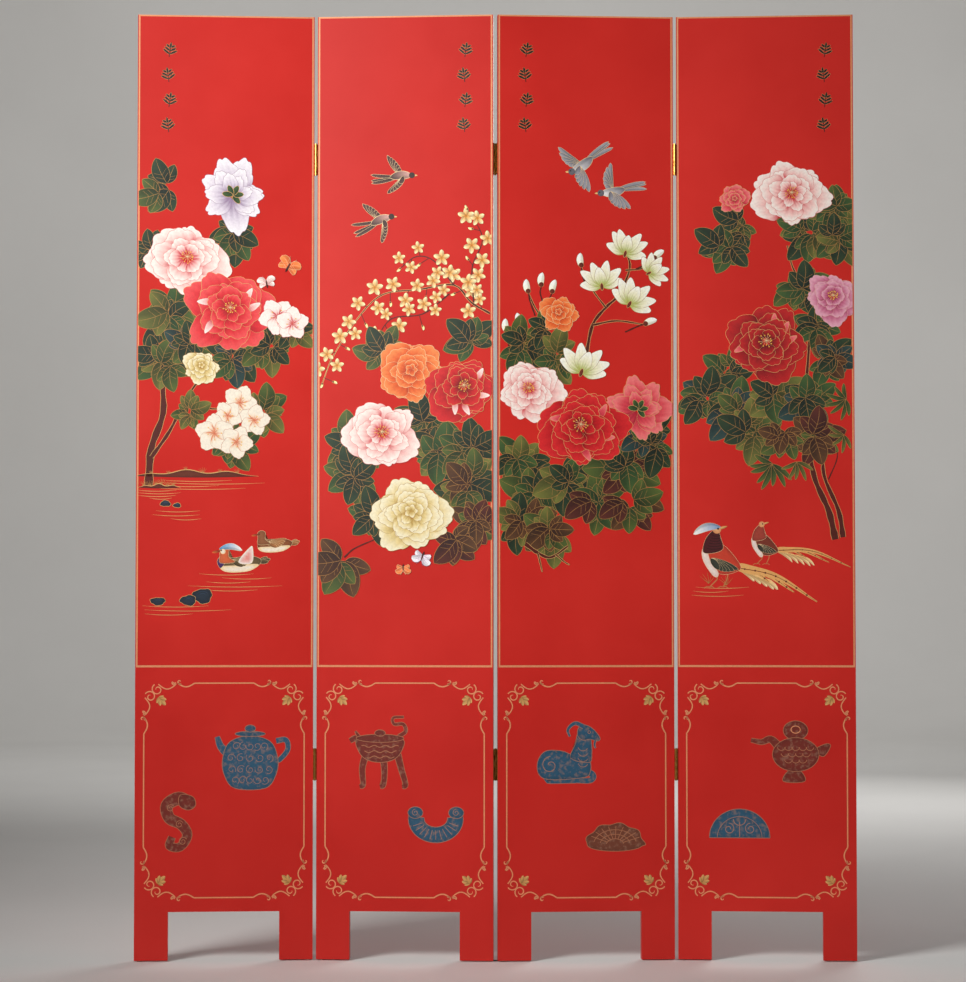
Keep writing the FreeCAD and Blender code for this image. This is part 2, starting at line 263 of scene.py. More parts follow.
def plate(panel, layer, outline, inner, outer, shade=6.0, spacing=4.0):
    """A flake with any outline, shaded from the outer colour at its edge to the inner one."""
    low, high = outline.min(0), outline.max(0)
    grid = np.stack(np.meshgrid(np.arange(low[0], high[0], spacing), np.arange(low[1], high[1], spacing)), -1)
    grid = grid.reshape(-1, 2)
    grid = grid[inside(grid, outline)]
    if len(grid):
        grid = grid[edge_distance(grid, outline) > spacing * 0.45]
    ring = [(index, (index + 1) % len(outline)) for index in range(len(outline))]
    corners = [Vector(point) for point in np.vstack([outline, grid])]
    flat, _, faces = delaunay_2d_cdt(corners, ring, [], 1, 1e-6)[:3]
    flat = np.array([tuple(point) for point in flat])
    height = panel.stroke()
    top = np.column_stack([flat, np.full(len(flat), height)])
    low_side = top * (1, 1, 0)
    edges = {(a, b) for face in faces for a, b in zip(face, face[1:] + face[:1])}
    skirt = [[b, a, a + len(flat), b + len(flat)] for a, b in edges if (b, a) not in edges]
    under = [[index + len(flat) for index in reversed(face)] for face in faces]
    tint = mix(outer, inner, edge_distance(flat, outline) / shade)
    panel.layer(layer).add(np.vstack([top, low_side]), np.vstack([tint, tint]), [*faces, *skirt, *under])
    return height


# --- brush strokes ----------------------------------------------------------------------------------------

PETAL_ROWS, PETAL_COLS = 9, 17
PETAL_SHOULDER = 0.62       # how far along a petal it is widest
PETAL_CONTOUR = 0.8
BLADE_ROWS, BLADE_COLS = 13, 5
SHADED, LIT = 0.78, 1.2     # the two lights of a blade's halves
VEIN_REACH = 0.78           # from the spine of a blade towards its edge


def petal(panel, base, tip, width, tone, ruffle=0.08, neck=0.35, blush=(0.3, 0.86)):
    """One petal, scalloped at its tip; blush is where its deep colour ends and its pale one begins."""
    run = tip - base
    side = at(-run[1], run[0]) / max(np.linalg.norm(run), 1e-6)
    t = np.linspace(0, 1, PETAL_ROWS)[:, None]
    s = np.linspace(-1, 1, PETAL_COLS)[None]
    swell = neck + (1 - neck) * np.sin(np.minimum(t / PETAL_SHOULDER, 1) * math.pi / 2)
    swell = swell * (1 - 0.12 * np.clip((t - PETAL_SHOULDER) / (1 - PETAL_SHOULDER), 0, 1) ** 2)
    phase = panel.random.uniform(0, 2 * math.pi)
    scallops = np.abs(np.cos(1.5 * math.pi * s + phase)) ** 0.6 - 0.7
    reach = t * (1 - 0.4 * s ** 2) + ruffle * t ** 2 * scallops
    flat = base + reach[..., None] * run + (s * swell * width / 2)[..., None] * side
    deep, middle, pale, edge = PETAL_TONES[tone]
    streak = 0.09 * np.sin(15 * s + phase)
    fold = 0.2 * ease(0.7, 1.0, np.abs(s))
    tint = mix(mix(deep, middle, ease(0.0, blush[0] + 0.35, t + streak - fold)), pale,
               ease(blush[0] + 0.2, blush[1] + 0.15, t + streak / 2 - fold))
    flake(panel.layer("petals"), flat, panel.stroke(), tint)
    rim = np.concatenate([flat[:, 0], flat[-1, 1:-1], flat[::-1, -1]])
    panel.gild("petal_lines", rim, tapered(len(rim), PETAL_CONTOUR), edge)


def blade(panel, layer, base, tip, width, colours, bend=0.0, blunt=0.6, line=None, contour=0.9, veins=0):
    """A leaf, feather or pointed petal, its halves in two lights, with a contour and veins if asked."""
    run = tip - base
    length = max(np.linalg.norm(run), 1e-6)
    side = at(-run[1], run[0]) / length
    t = np.linspace(0, 1, BLADE_ROWS)
    profile = t ** 0.6 * (1 - t) ** blunt
    profile[0] = 0.05
    profile /= profile.max()
    spine = base + t[:, None] * run + (bend * length * np.sin(math.pi * t))[:, None] * side
    s = np.linspace(-1, 1, BLADE_COLS)
    flat = spine[:, None] + (s * profile[:, None] * width / 2)[..., None] * side
    light = np.where(s < 0, SHADED, LIT)[None, :, None] * np.ones((BLADE_ROWS, 1, 1))
    tint = np.clip(mix(colours[0], colours[1], t ** 1.3)[:, None] * light, 0, 1)
    flake(panel.layer(layer), flat, panel.stroke(), tint)
    if line is None:
        return
    lines = layer + "_lines"
    panel.gild(lines, np.concatenate([flat[:, 0], flat[::-1, -1]]), contour, line)
    if veins:
        panel.gild(lines, spine[:-1], tapered(BLADE_ROWS - 1, contour, 1, 0.3), line)
    for row in range(2, 2 + 2 * veins, 2):
        for edge in (0, -1):
            end = spine[row + 2] * (1 - VEIN_REACH) + flat[row + 2, edge] * VEIN_REACH
            panel.gild(lines, straight(spine[row], end), contour * 0.6, line)


def disc(panel, layer, centre, radius, inner, outer):
    """A round flake."""
    return plate(panel, layer, centre + polar(radius, np.arange(0, 360, 20)), inner, outer, radius, radius)


BRANCH_KNOTS = 0.16         # how much a branch swells at its knots, as a share of its width
KNOT_TURN = 1.9             # and how fast they follow one another along it


def branch(panel, points, start, end, colour=BARK):
    """A branch through the given points, start wide and then end wide, with gold edges if it is thick."""
    line = smooth([at(*point) for point in points])
    knots = 1 + BRANCH_KNOTS * np.sin(np.arange(len(line)) * KNOT_TURN)
    widths = np.linspace(start, end, len(line)) * knots
    panel.line("branches", line, widths, colour)
    if start > 3:
        normal = np.gradient(line, axis=0)[:, ::-1] * (-1, 1)
        normal /= np.linalg.norm(normal, axis=1, keepdims=True)
        for edge in (-0.5, 0.5):
            panel.gild("branches_lines", line + normal * widths[:, None] * edge, 0.9, GOLD)


# --- leaves -----------------------------------------------------------------------------------------------


def compound_leaf(panel, stalk, heading, size, tone):
    """Three lobes on one stalk, the middle one on top, as a peony leaf has."""
    colours = LEAF_TONES[tone]
    for turn, share in ((52, 0.74), (-52, 0.74), (0, 1.0)):
        turn += panel.random.uniform(-9, 9)
        tip = stalk + polar(size * share, heading + turn)
        bend = panel.random.uniform(-0.08, 0.08)
        blade(panel, "foliage", stalk, tip, size * share * 0.62, colours, bend, 0.75, LEAF_GOLD, 0.8, 2)


def leaf_fan(panel, u, v, count, size, tones, heading=90, sweep=360):
    """A loose spray of leaves about one place; sweep 360 goes all the way round."""
    tones = tones.split()
    first = heading if sweep == 360 else heading - sweep / 2
    step = sweep / (count if sweep == 360 else max(count - 1, 1))
    for index in panel.random.sample(range(count), count):
        turn = first + index * step + panel.random.uniform(-16, 16)
        reach = size * panel.random.uniform(-0.15, 0.4)
        stalk = at(u, v) + polar(reach, turn + panel.random.uniform(-50, 50))
        droop = -14 * math.cos(math.radians(turn))
        grown = size * panel.random.uniform(0.85, 1.25)
        compound_leaf(panel, stalk, turn + droop, grown, tones[index % len(tones)])


def slim_leaves(panel, u, v, count, size, heading, sweep, tone="moss"):
    """A fan of narrow leaves on a thin twig."""
    for index in range(count):
        turn = heading - sweep / 2 + sweep * index / max(count - 1, 1) + panel.random.uniform(-7, 7)
        tip = at(u, v) + polar(size * panel.random.uniform(0.75, 1.1), turn)
        blade(panel, "foliage", at(u, v), tip, size * 0.2, LEAF_TONES[tone], 0.05, line=LEAF_GOLD,
              contour=0.7)


# --- flowers ----------------------------------------------------------------------------------------------


GOLDEN_ANGLE = 137.5


def stamens(panel, centre, radius, count, colour=PALE_GOLD):
    """Threads with a yellow tip, each turned from the last by the golden angle."""
    for index in range(count):
        tip = centre + polar(radius * panel.random.uniform(0.6, 1.0), index * GOLDEN_ANGLE)
        panel.line("petal_lines", straight(centre, tip), 0.6, colour)
        disc(panel, "petals", tip, 1.5, srgb(255, 214, 90), srgb(226, 160, 50))


LOOSE_REACH = (0.8, 1.14)     # how far outer petals reach, as a share of the flower's radius
CUPPED_REACH = (0.86, 1.06)
LOOSE_RUFFLE = 0.11
PEONY_TILT = 0.88             # how far a peony is foreshortened


def peony(panel, u, v, radius, tone, rings=4, heart=True, accent=None):
    """A double peony: loose outer petals, then smaller ones that cup round a heart set above its middle."""
    middle = at(u, v)
    heart_at = middle + at(panel.random.uniform(-0.06, 0.06), 0.1) * radius
    for ring in range(rings):
        inner = ring / rings
        share = 1 - 0.8 * inner
        centre = middle + (heart_at - middle) * inner
        count = 7 - ring // 2
        start = panel.random.uniform(0, 360)
        for index in panel.random.sample(range(count), count):
            turn = start + 360 * index / count + panel.random.uniform(-14, 14)
            least, most = LOOSE_REACH if ring == 0 else CUPPED_REACH
            reach = radius * share * panel.random.uniform(least, most)
            base = centre + polar(reach * 0.26, turn)
            tip = centre + polar(reach, turn) * at(1, PEONY_TILT)
            petal(panel, base, tip, reach * panel.random.uniform(0.66, 1.06), tone, LOOSE_RUFFLE)
        if accent and ring == 1:
            for turn in panel.random.sample(range(0, 360, 30), 4):
                base = centre + polar(radius * 0.4, turn)
                petal(panel, base, centre + polar(radius * 0.74, turn + 14), radius * 0.16, accent, 0.02)
    if heart:
        stamens(panel, heart_at, radius * 0.17, 14)
        return
    deep, middle = PETAL_TONES[tone][:2]
    disc(panel, "petals", heart_at, radius * 0.1, deep, (deep + middle) / 2)
    for turn in range(0, 360, 72):
        petal(panel, heart_at, heart_at + polar(radius * 0.17, turn), radius * 0.16, tone)


def side_peony(panel, u, v, radius, tone, heading):
    """A peony seen from behind and below: a fan of broad petals over a green calyx."""
    centre = at(u, v)
    for share, count, sweep in ((1.0, 7, 290), (0.78, 5, 210), (0.55, 3, 110)):
        for index in range(count):
            turn = heading - sweep / 2 + sweep * index / (count - 1) + panel.random.uniform(-13, 13)
            reach = radius * share * panel.random.uniform(0.84, 1.14)
            base, tip = centre + polar(reach * 0.1, turn), centre + polar(reach, turn)
            petal(panel, base, tip, reach * 0.72, tone, LOOSE_RUFFLE)
    for turn in (-110, -55, 0, 55, 110):
        tip = centre + polar(radius * 0.3, heading + turn)
        blade(panel, "foliage", centre, tip, radius * 0.15, LEAF_TONES["green"], line=GOLD)


def open_blossom(panel, u, v, radius, tone="white"):
    """A flat five-petalled blossom with long stamens."""
    centre = at(u, v)
    start = panel.random.uniform(0, 360)
    for index in range(5):
        turn = start + 72 * index
        petal(panel, centre, centre + polar(radius, turn), radius, tone, 0.07, 0.2, blush=(-0.12, 0.3))
    stamens(panel, centre, radius * 0.42, 6, srgb(214, 96, 70))


def star_blossom(panel, u, v, radius):
    """A small yellow blossom of five pointed petals."""
    centre = at(u, v)
    start = panel.random.uniform(0, 72)
    deep, _, pale, edge = PETAL_TONES["yellow"]
    for index in range(5):
        tip = centre + polar(radius, start + 72 * index)
        blade(panel, "petals", centre, tip, radius * 0.58, (deep, pale), line=edge, contour=0.5)
    disc(panel, "petals", centre, radius * 0.17, srgb(196, 96, 32), deep)


TWIG_PITCH = 21.0           # from one blossom of a twig to the next


def blossoming_twig(panel, points, width):
    """A twig with blossoms and buds on short stalks, to one side and then to the other."""
    branch(panel, points, width, 1.5)
    line = smooth([at(*point) for point in points])
    reach = np.append(0, np.cumsum(np.linalg.norm(np.diff(line, axis=0), axis=1)))
    for index, along in enumerate(np.arange(TWIG_PITCH, reach[-1], TWIG_PITCH)):
        here, ahead = (at(np.interp(place, reach, line[:, 0]), np.interp(place, reach, line[:, 1]))
                       for place in (along, along + 1))
        heading = math.degrees(math.atan2(*(ahead - here)[::-1]))
        turn = heading + (70 if index % 2 else -70) + panel.random.uniform(-25, 25)
        end = here + polar(panel.random.uniform(9, 24), turn)
        panel.line("branches", straight(here, end), 1.5, BARK)
        if index % 4 == 3:
            bud(panel, *end, 13, turn, "yellow")
        else:
            star_blossom(panel, *end, panel.random.uniform(15, 20))
    bud(panel, *line[-1], 13, heading, "yellow")


def magnolia(panel, u, v, size, heading):
    """Long smooth petals that rise from one cup."""
    base = at(u, v)
    for turn, share in ((-82, 0.85), (82, 0.85), (-52, 1.0), (52, 1.0), (-22, 1.0), (24, 0.98), (0, 0.72)):
        tip = base + polar(size * share, heading + turn + panel.random.uniform(-6, 6))
        petal(panel, base, tip, size * 0.46, "magnolia", 0.012, 0.3)
    blade(panel, "foliage", base - polar(size * 0.2, heading), base + polar(size * 0.1, heading), size * 0.13,
          (TWIG, TWIG), line=GOLD)


def bud(panel, u, v, size, heading, tone="magnolia"):
    """A closed bud in a small brown cup."""
    base = at(u, v)
    _, middle, pale, edge = PETAL_TONES[tone]
    tip = base + polar(size, heading)
    blade(panel, "petals", base, tip, size * 0.46, (middle, pale), 0.06, line=edge, contour=0.7)
    cup = base + polar(size * 0.35, heading)
    blade(panel, "foliage", base, cup, size * 0.34, (TWIG, BARK), line=GOLD, contour=0.5)


def butterfly(panel, u, v, size, heading, tone):
    """A moth with two pointed wings to each side."""
    body = at(u, v)
    _, middle, pale, edge = PETAL_TONES[tone]
    for turn, share in ((-105, 0.75), (105, 0.75), (-58, 1.0), (58, 1.0)):
        tip = body + polar(size * share, heading + turn)
        bend = 0.12 if turn < 0 else -0.12
        blade(panel, "petals", body, tip, size * share * 0.62, (middle, pale), bend, 0.35, edge, 0.6, 2)
    blade(panel, "petals", body - polar(size * 0.4, heading), body + polar(size * 0.4, heading), size * 0.16,
          (INK, TWIG))
    for turn in (-20, 20):
        feeler = [body + polar(size * 0.36, heading), body + polar(size * 0.85, heading + turn)]
        panel.line("petal_lines", feeler, 0.6, edge)


# --- birds, ground and water ------------------------------------------------------------------------------


LEG = srgb(196, 120, 70)
WING_FEATHERS = 6
WING_SHRINK = 0.13          # how much shorter each feather of a wing is than the last


def plume(panel, root, tip, width, colours, bend=0.0, blunt=0.6, contour=0.5):
    """One feather with a thin gold contour."""
    blade(panel, "birds", root, tip, width, colours, bend, blunt, PALE_GOLD, contour)


def open_wing(panel, root, heading, step, length, width, colours):
    """A fan of feathers, each shorter and a step further round than the last."""
    for index in range(WING_FEATHERS):
        reach = length * (1 - WING_SHRINK * index)
        plume(panel, root, root + polar(reach, heading + step * index), width, colours, 0.04, 0.4)


def head(panel, centre, radius, colour, facing):
    """A round head with a bill and an eye; facing is -1 to the left and 1 to the right."""
    tip = centre + at(facing * radius * 1.9, -radius * 0.1)
    blade(panel, "birds", centre, tip, radius * 0.6, (GOLD, GOLD))
    disc(panel, "birds", centre, radius, colour, colour * 0.7)
    disc(panel, "birds", centre + at(facing * radius * 0.35, radius * 0.2), radius * 0.2, INK, INK)


def flying_bird(panel, u, v, span, heading, wings, tail, colours, spread=9):
    """A bird in flight: tail, far wing, body, near wing and head, with its head towards heading."""
    back, breast, wing = colours
    body = at(u, v)
    facing = 1 if math.cos(math.radians(heading)) > 0 else -1
    for aside in (-tail, tail * 0.4, tail):
        tip = body - polar(span * 0.72, heading + aside)
        plume(panel, body, tip, span * 0.08, (wing * 0.7, wing), 0.03, 0.4)
    far_turn, near_turn = heading + wings[0], heading + wings[1]
    open_wing(panel, body, far_turn, -spread * facing, span * 0.6, span * 0.1, (wing * 0.6, wing))
    nose = body + polar(span * 0.26, heading)
    rump = body - polar(span * 0.26, heading)
    blade(panel, "birds", rump, nose, span * 0.2, (back, breast), 0.05, line=PALE_GOLD)
    shoulder = body + polar(span * 0.06, heading)
    open_wing(panel, shoulder, near_turn, spread * facing, span * 0.56, span * 0.11, (back, wing))
    head(panel, nose, span * 0.07, back, facing)


def bird_part(panel, place, size, facing, points, inner, outer):
    """A smooth shape of a bird's body, from points in units of the bird's size."""
    outline = place + smooth(points, True, 4) * at(size * facing, size)
    plate(panel, "birds", outline, inner, outer, size * 0.07, size * 0.05)
    panel.gild("birds_lines", closed(outline), 0.6, PALE_GOLD)


def swimming_bird(panel, u, v, length, facing, plumage, bright=False):
    """A duck on the water, u, v the middle of its waterline; a bright one has a crest, a ruff and a sail."""
    back, wing, belly, head_colour = plumage
    place = at(u, v)

    def part(points, inner, outer):
        bird_part(panel, place, length, facing, points, inner, outer)

    for turn, reach in ((28, 0.2), (14, 0.24), (2, 0.2)):
        root = place + at(-0.36 * facing, 0.14) * length
        tip = root + polar(reach * length, turn) * at(-facing, 1)
        plume(panel, root, tip, length * 0.08, (wing * 0.6, wing))
    part([(0.38, 0.08), (0.3, 0.24), (0.1, 0.22), (-0.2, 0.26), (-0.42, 0.18), (-0.3, 0.02), (0, -0.04),
          (0.28, -0.02)], back, back * 0.6)
    part([(0.36, 0.05), (0.1, 0.07), (-0.36, 0.1), (-0.22, -0.02), (0.05, -0.06), (0.28, -0.04)],
         WHITE, belly)
    root = place + at(0.16 * facing, 0.16) * length
    for index in range(6):
        turn = 168 + 7 * index
        tip = root + polar(length * (0.46 - 0.04 * index), turn) * at(facing, 1)
        plume(panel, root, tip, length * 0.09, (wing * 0.7, wing), contour=0.4)
    if bright:
        part([(0.02, 0.14), (-0.2, 0.42), (-0.26, 0.4), (-0.24, 0.12)], srgb(232, 150, 140), WHITE)
        part([(0.36, 0.02), (0.42, 0.14), (0.36, 0.24), (0.28, 0.12)], srgb(84, 42, 110), srgb(60, 30, 84))
    part([(0.36, 0.12), (0.37, 0.27), (0.38, 0.38), (0.3, 0.44), (0.2, 0.4), (0.2, 0.24), (0.08, 0.14)],
         head_colour, head_colour * 0.7)
    crown = place + at(0.3 * facing, 0.36) * length
    if bright:
        nape = crown + at(-0.36 * facing, 0.0) * length
        brow = crown + at(0.08 * facing, 0.03) * length
        plume(panel, brow, nape, length * 0.12, (srgb(60, 140, 190), WHITE), 0.14 * -facing)
        disc(panel, "birds", crown + at(0.01 * facing, -0.02) * length, length * 0.05, WHITE, PALE_GOLD)
    bill = crown + at(0.22 * facing, -0.04) * length
    blade(panel, "birds", crown + at(0.06 * facing, -0.01) * length, bill, length * 0.05,
          (CLAY, srgb(224, 110, 50)))
    disc(panel, "birds", crown + at(0.04 * facing, 0.0) * length, length * 0.014, INK, INK)


def tail_plumes(panel, root, end, width, colour):
    """Long arching plumes with a hanging fringe of short pale ones."""
    sag = at(0, abs(end[0]) * 0.1)
    for fringe in range(14):
        start = root + end * (0.03 + 0.026 * fringe)
        tip = start + at(end[0] * 0.16, -abs(end[0]) * (0.1 + 0.02 * (fringe % 3)))
        blade(panel, "birds", start, tip, width * 0.42, (GOLD, PALE_GOLD), 0.08)
    for lift, share in ((0.16, 0.42), (0.07, 0.72), (0.0, 1.0)):
        crest = root + end * share / 2 + sag * share + at(0, width * lift)
        line = smooth([root, crest, root + end * share], False, 8)
        swell = 0.3 + 0.7 * ease(0, 0.2, np.linspace(0, 1, len(line)))
        widths = width * swell * np.linspace(1, 0.1, len(line))
        panel.line("birds", line, widths, colour)
        panel.gild("birds_lines", line, np.linspace(1.8, 0.6, len(line)), CLAY)
        for point in line[2:-2:2]:
            disc(panel, "birds", point, width * 0.09, INK, CLAY)


def standing_bird(panel, u, v, size, plumage, tail_end, tail_width, crested=False):
    """A long-tailed bird that stands with its tail to the right; size is its height from feet to crown."""
    back, wing, belly, cape, crest = plumage
    place = at(u, v)

    def part(points, inner, outer):
        bird_part(panel, place, size, 1, points, inner, outer)

    for hip, toe in ((0.0, -0.14), (0.16, 0.08)):
        leg = [place + at(hip, 0.24) * size, place + at(hip - 0.02, 0.12) * size, place + at(toe, 0) * size]
        panel.line("birds", leg, size * 0.02, LEG)
        for claw in (-0.09, 0.08):
            foot = [leg[-1], leg[-1] + at(claw / 2, 0.01) * size, leg[-1] + at(claw, -0.02) * size]
            ribbon(panel.layer("birds"), foot, size * 0.014, panel.height, LEG)
    tail_plumes(panel, place + at(0.26, 0.32) * size, at(*tail_end), tail_width, srgb(232, 172, 100))
    part([(-0.24, 0.62), (-0.25, 0.46), (-0.12, 0.28), (0.1, 0.2), (0.32, 0.26), (0.36, 0.34), (0.24, 0.52),
          (0.08, 0.68), (-0.1, 0.7)], back, back * 0.75)
    part([(-0.26, 0.6), (-0.24, 0.42), (-0.1, 0.2), (-0.02, 0.16), (0.0, 0.24), (-0.12, 0.4), (-0.18, 0.58)],
         WHITE, belly)
    root = place + at(-0.12, 0.46) * size
    for index in range(6):
        tip = root + polar(size * (0.48 - 0.05 * index), -22 - 6 * index)
        plume(panel, root, tip, size * 0.1, (wing, wing * 1.4), contour=0.4)
    part([(-0.24, 0.56), (-0.21, 0.76), (-0.1, 0.9), (0.0, 0.92), (0.04, 0.8), (0.08, 0.62), (-0.06, 0.55)],
         cape, cape * 0.7)
    if crested:
        for bar in range(6):
            half = 0.13 - 0.012 * bar
            middle = at(-0.07 + 0.008 * bar, 0.64 + 0.042 * bar) * size
            line = place + arc(1, 205, 335, 9) * (half * size, 0.03 * size) + middle
            panel.stroke()
            panel.gild("birds_lines", line, 1.2, INK)
    crown = place + at(-0.02, 0.93) * size
    blade(panel, "birds", crown, crown + at(0.17, 0.05) * size, size * 0.04, (GOLD, srgb(190, 120, 60)))
    disc(panel, "birds", crown, size * 0.07, srgb(236, 176, 120), srgb(214, 140, 90))
    if crested:
        brow, nape = crown + at(0.06, 0.04) * size, crown + at(-0.38, -0.08) * size
        plume(panel, brow, nape, size * 0.13, (crest, WHITE), -0.12)
    disc(panel, "birds", crown + at(0.02, 0.01) * size, size * 0.016, INK, INK)


def ripples(panel, u, v, half, count, drop=9):
    """Thin gold lines of water, each a shallow arc."""
    for index in range(count):
        reach = half * panel.random.uniform(0.4, 1.0)
        x = np.linspace(-reach, reach, 12)
        sag = 3 * (1 - (x / reach) ** 2)
        line = np.stack([u + x + (half - reach) * panel.random.uniform(-1, 1), v - drop * index - sag], -1)
        panel.line("ground_lines", line, tapered(len(line), 1.1), GOLD)


def stone(panel, u, v, width, height):
    """A rounded dark stone with a gold contour."""
    turn = np.arange(0, 360, 15)
    lumpy = 1 + 0.1 * np.sin(np.radians(turn * 3) + u) + 0.05 * np.sin(np.radians(turn * 7) + v)
    outline = at(u, v) + polar(lumpy, turn) * at(width, height) / 2
    plate(panel, "ground", outline, SLATE, SLATE * 0.5, height / 3)
    panel.gild("ground_lines", closed(outline), 0.9, GOLD)
    for reach in (0.35, 0.62):
        crack = at(u, v) + arc(reach, 20, 150, 9) * at(width, height) / 2
        panel.gild("ground_lines", crack, tapered(len(crack), 0.9), SLATE * 3)


def bank(panel, u, v, half, height):
    """A low bank of earth with an uneven crest, gold strokes and tufts of grass."""
    x = np.linspace(-1, 1, 30)
    lumps = 0.72 + 0.28 * np.sin(x * 9 + u)
    crest = np.stack([u + x * half, v + height * (1 - x ** 2) * lumps], -1)
    foot = np.stack([u + x[::-1] * half, v - height * 0.22 * (1 - x[::-1] ** 2)], -1)[1:-1]
    plate(panel, "ground", np.vstack([crest, foot]), srgb(104, 44, 24), BARK)
    panel.gild("ground_lines", crest, tapered(len(crest), 2.0), GOLD)
    ripples(panel, u, v - height * 0.6, half * 1.1, 4, 6)
    for point in crest[4:-4:4]:
        grass(panel, *point, panel.random.uniform(7, 14))


def grass(panel, u, v, size):
    """A tuft of five bent blades."""
    for turn in (50, 72, 96, 122, 140):
        tip = at(u, v) + polar(size, turn)
        bent = [at(u, v), (at(u, v) + tip) / 2 + at(1, 0), tip]
        panel.line("ground_lines", bent, (1.0, 0.8, 0.3), LEAF_GOLD)


# --- old vessels in the lower field -----------------------------------------------------------------------


CURL_END = 0.25            # a curl winds in to this share of its radius
CONTOUR = 1.4              # the worn line round a vessel and its parts


def curl(centre, radius, start, turns):
    """Points of a spiral from its rim inwards."""
    t = np.linspace(0, 1, 22)
    return centre + polar(radius * (1 - (1 - CURL_END) * t), start + 360 * turns * t)


class Vessel:
    """Draws one antique around its own middle, in one colour with a worn pale contour."""

    def __init__(self, panel, u, v, colour):
        self.panel, self.middle, self.colour = panel, at(u, v), colour
        self.line = mix(colour, srgb(214, 150, 110), 0.62)

    def piece(self, outline):
        """A filled outline with its contour."""
        outline = self.middle + outline
        plate(self.panel, "antiques", outline, self.colour, self.colour * 0.75, 10)
        self.panel.gild("antiques_lines", closed(outline), CONTOUR, self.line)

    def shape(self, *points):
        """A piece with a smooth outline through the points."""
        self.piece(smooth(points, True))

    def oval(self, u, v, half_width, half_height):
        """An oval piece."""
        self.piece(at(u, v) + polar(1, np.arange(0, 360, 12)) * at(half_width, half_height))

    def mark(self, points, width=CONTOUR):
        """A line of ornament in the contour's colour."""
        self.bare(points, width, self.line)

    def bare(self, points, width, colour):
        """A line of ornament in any colour."""
        self.panel.stroke()
        self.panel.gild("antiques_lines", self.middle + np.asarray(points, float), width, colour)

    def limb(self, points, start, end):
        """A tapering limb through the given points."""
        line = self.middle + smooth(points)
        widths = np.linspace(start, end, len(line))
        self.panel.line("antiques_lines", line, widths + 2.4, self.line)
        self.panel.line("antiques", line, widths, self.colour)


def arc(radius, start, end, count=24):
    """Points of an arc round the middle, from one angle to another."""
    return polar(radius, np.linspace(start, end, count))


def teapot(panel, u, v):
    pot = Vessel(panel, u, v, BLUE)
    pot.limb([(58, 34), (80, 36), (84, 14), (66, -8), (56, -10)], 11, 9)
    pot.limb([(-48, 4), (-66, 22), (-74, 44)], 20, 10)
    pot.shape((-34, -72), (-58, -42), (-62, -6), (-46, 32), (0, 46), (46, 32), (62, -6), (58, -42), (34, -72))
    pot.oval(0, 50, 34, 6)
    pot.oval(0, 62, 12, 8)
    for row, reach in ((22, 40), (-4, 56), (-30, 54), (-54, 44)):
        for column in range(5):
            centre = at((column - 2) * reach / 2.6, row)
            pot.mark(curl(centre, 10, 70 * column + row, 1.1), 1.2)


def tripod(panel, u, v):
    bowl = Vessel(panel, u, v, CLAY)
    for hip, knee, foot in ((-38, -46, -44), (0, 4, 2), (34, 42, 52)):
        bowl.limb([(hip, -6), (knee, -38), (foot, -74), (foot - 8, -78)], 15, 8)
    bowl.limb([(36, 34), (52, 46), (46, 62), (26, 62), (24, 76), (48, 78)], 8, 4)
    bowl.limb([(-44, 22), (-60, 30), (-74, 24)], 16, 10)
    bowl.limb([(-54, 34), (-62, 46)], 7, 3)
    bowl.shape((-58, 28), (-54, 0), (-36, -18), (-6, -24), (24, -18), (42, 0), (46, 28), (-6, 34))
    bowl.oval(-6, 30, 54, 9)
    bowl.oval(-6, 42, 12, 7)
    for band in (-12, 0, 12):
        x = np.linspace(-50, 38, 20) * (1 - abs(band - 16) / 90)
        bowl.mark(np.stack([x, band + 2.4 * np.sin(x / 4)], -1), 1.8)


def twin_crescent(panel, u, v):
    jade = Vessel(panel, u, v, BLUE)
    jade.piece(np.vstack([arc(62, 172, 368) * (1, 0.86), arc(26, 368, 172) * (1, 0.7)]) + at(0, 20))
    for side in (-1, 1):
        jade.oval(side * 46, 34, 17, 13)
        jade.mark(curl(at(side * 46, 34), 8, 90, 1.3))
    for turn in range(200, 350, 14):
        jade.mark([polar(32, turn) * (1, 0.8) + at(0, 20), polar(54, turn) * (1, 0.86) + at(0, 20)])


def resting_goat(panel, u, v):
    goat = Vessel(panel, u, v, BLUE)
    goat.limb([(34, -34), (56, -46), (50, -58), (16, -58)], 14, 10)
    goat.limb([(-30, -46), (-46, -58), (18, -59)], 14, 9)
    goat.shape((-66, -44), (-68, -14), (-50, 8), (-14, 8), (10, 0), (36, 6), (50, -14), (50, -40), (34, -52),
               (-40, -56))
    goat.shape((6, -8), (16, 22), (24, 52), (46, 54), (52, 34), (54, 4), (48, -18))
    goat.shape((22, 42), (24, 60), (40, 66), (58, 56), (72, 38), (68, 30), (50, 34), (34, 32))
    goat.limb([(36, 62), (16, 70), (0, 56), (4, 40)], 9, 3)
    goat.limb([(62, 32), (60, 22), (62, 14)], 4, 2)
    goat.oval(48, 50, 3, 3)
    goat.mark(curl(at(-40, -24), 20, 90, 1.2), 1.8)
    for row in range(4):
        goat.mark(arc(12, 200, 330, 9) + at(34, 20 - 12 * row))


def fan_stone(panel, u, v):
    stone_fan = Vessel(panel, u, v, srgb(116, 58, 36))
    turn = np.linspace(0, 180, 40)
    rim = polar(1 + 0.05 * np.cos(np.radians(turn * 9)), turn) * at(66, 48)
    stone_fan.piece(np.vstack([rim, arc(1, 180, 360, 16)[1:-1] * (62, 14)]) + at(0, -16))
    for reach in (0.3, 0.52, 0.74):
        stone_fan.mark(arc(reach, 12, 168) * (66, 46) + at(0, -16))
    for turn in range(24, 160, 16):
        stone_fan.mark([polar(0.3, turn) * (66, 46) + at(0, -16), polar(0.92, turn) * (66, 46) + at(0, -16)])


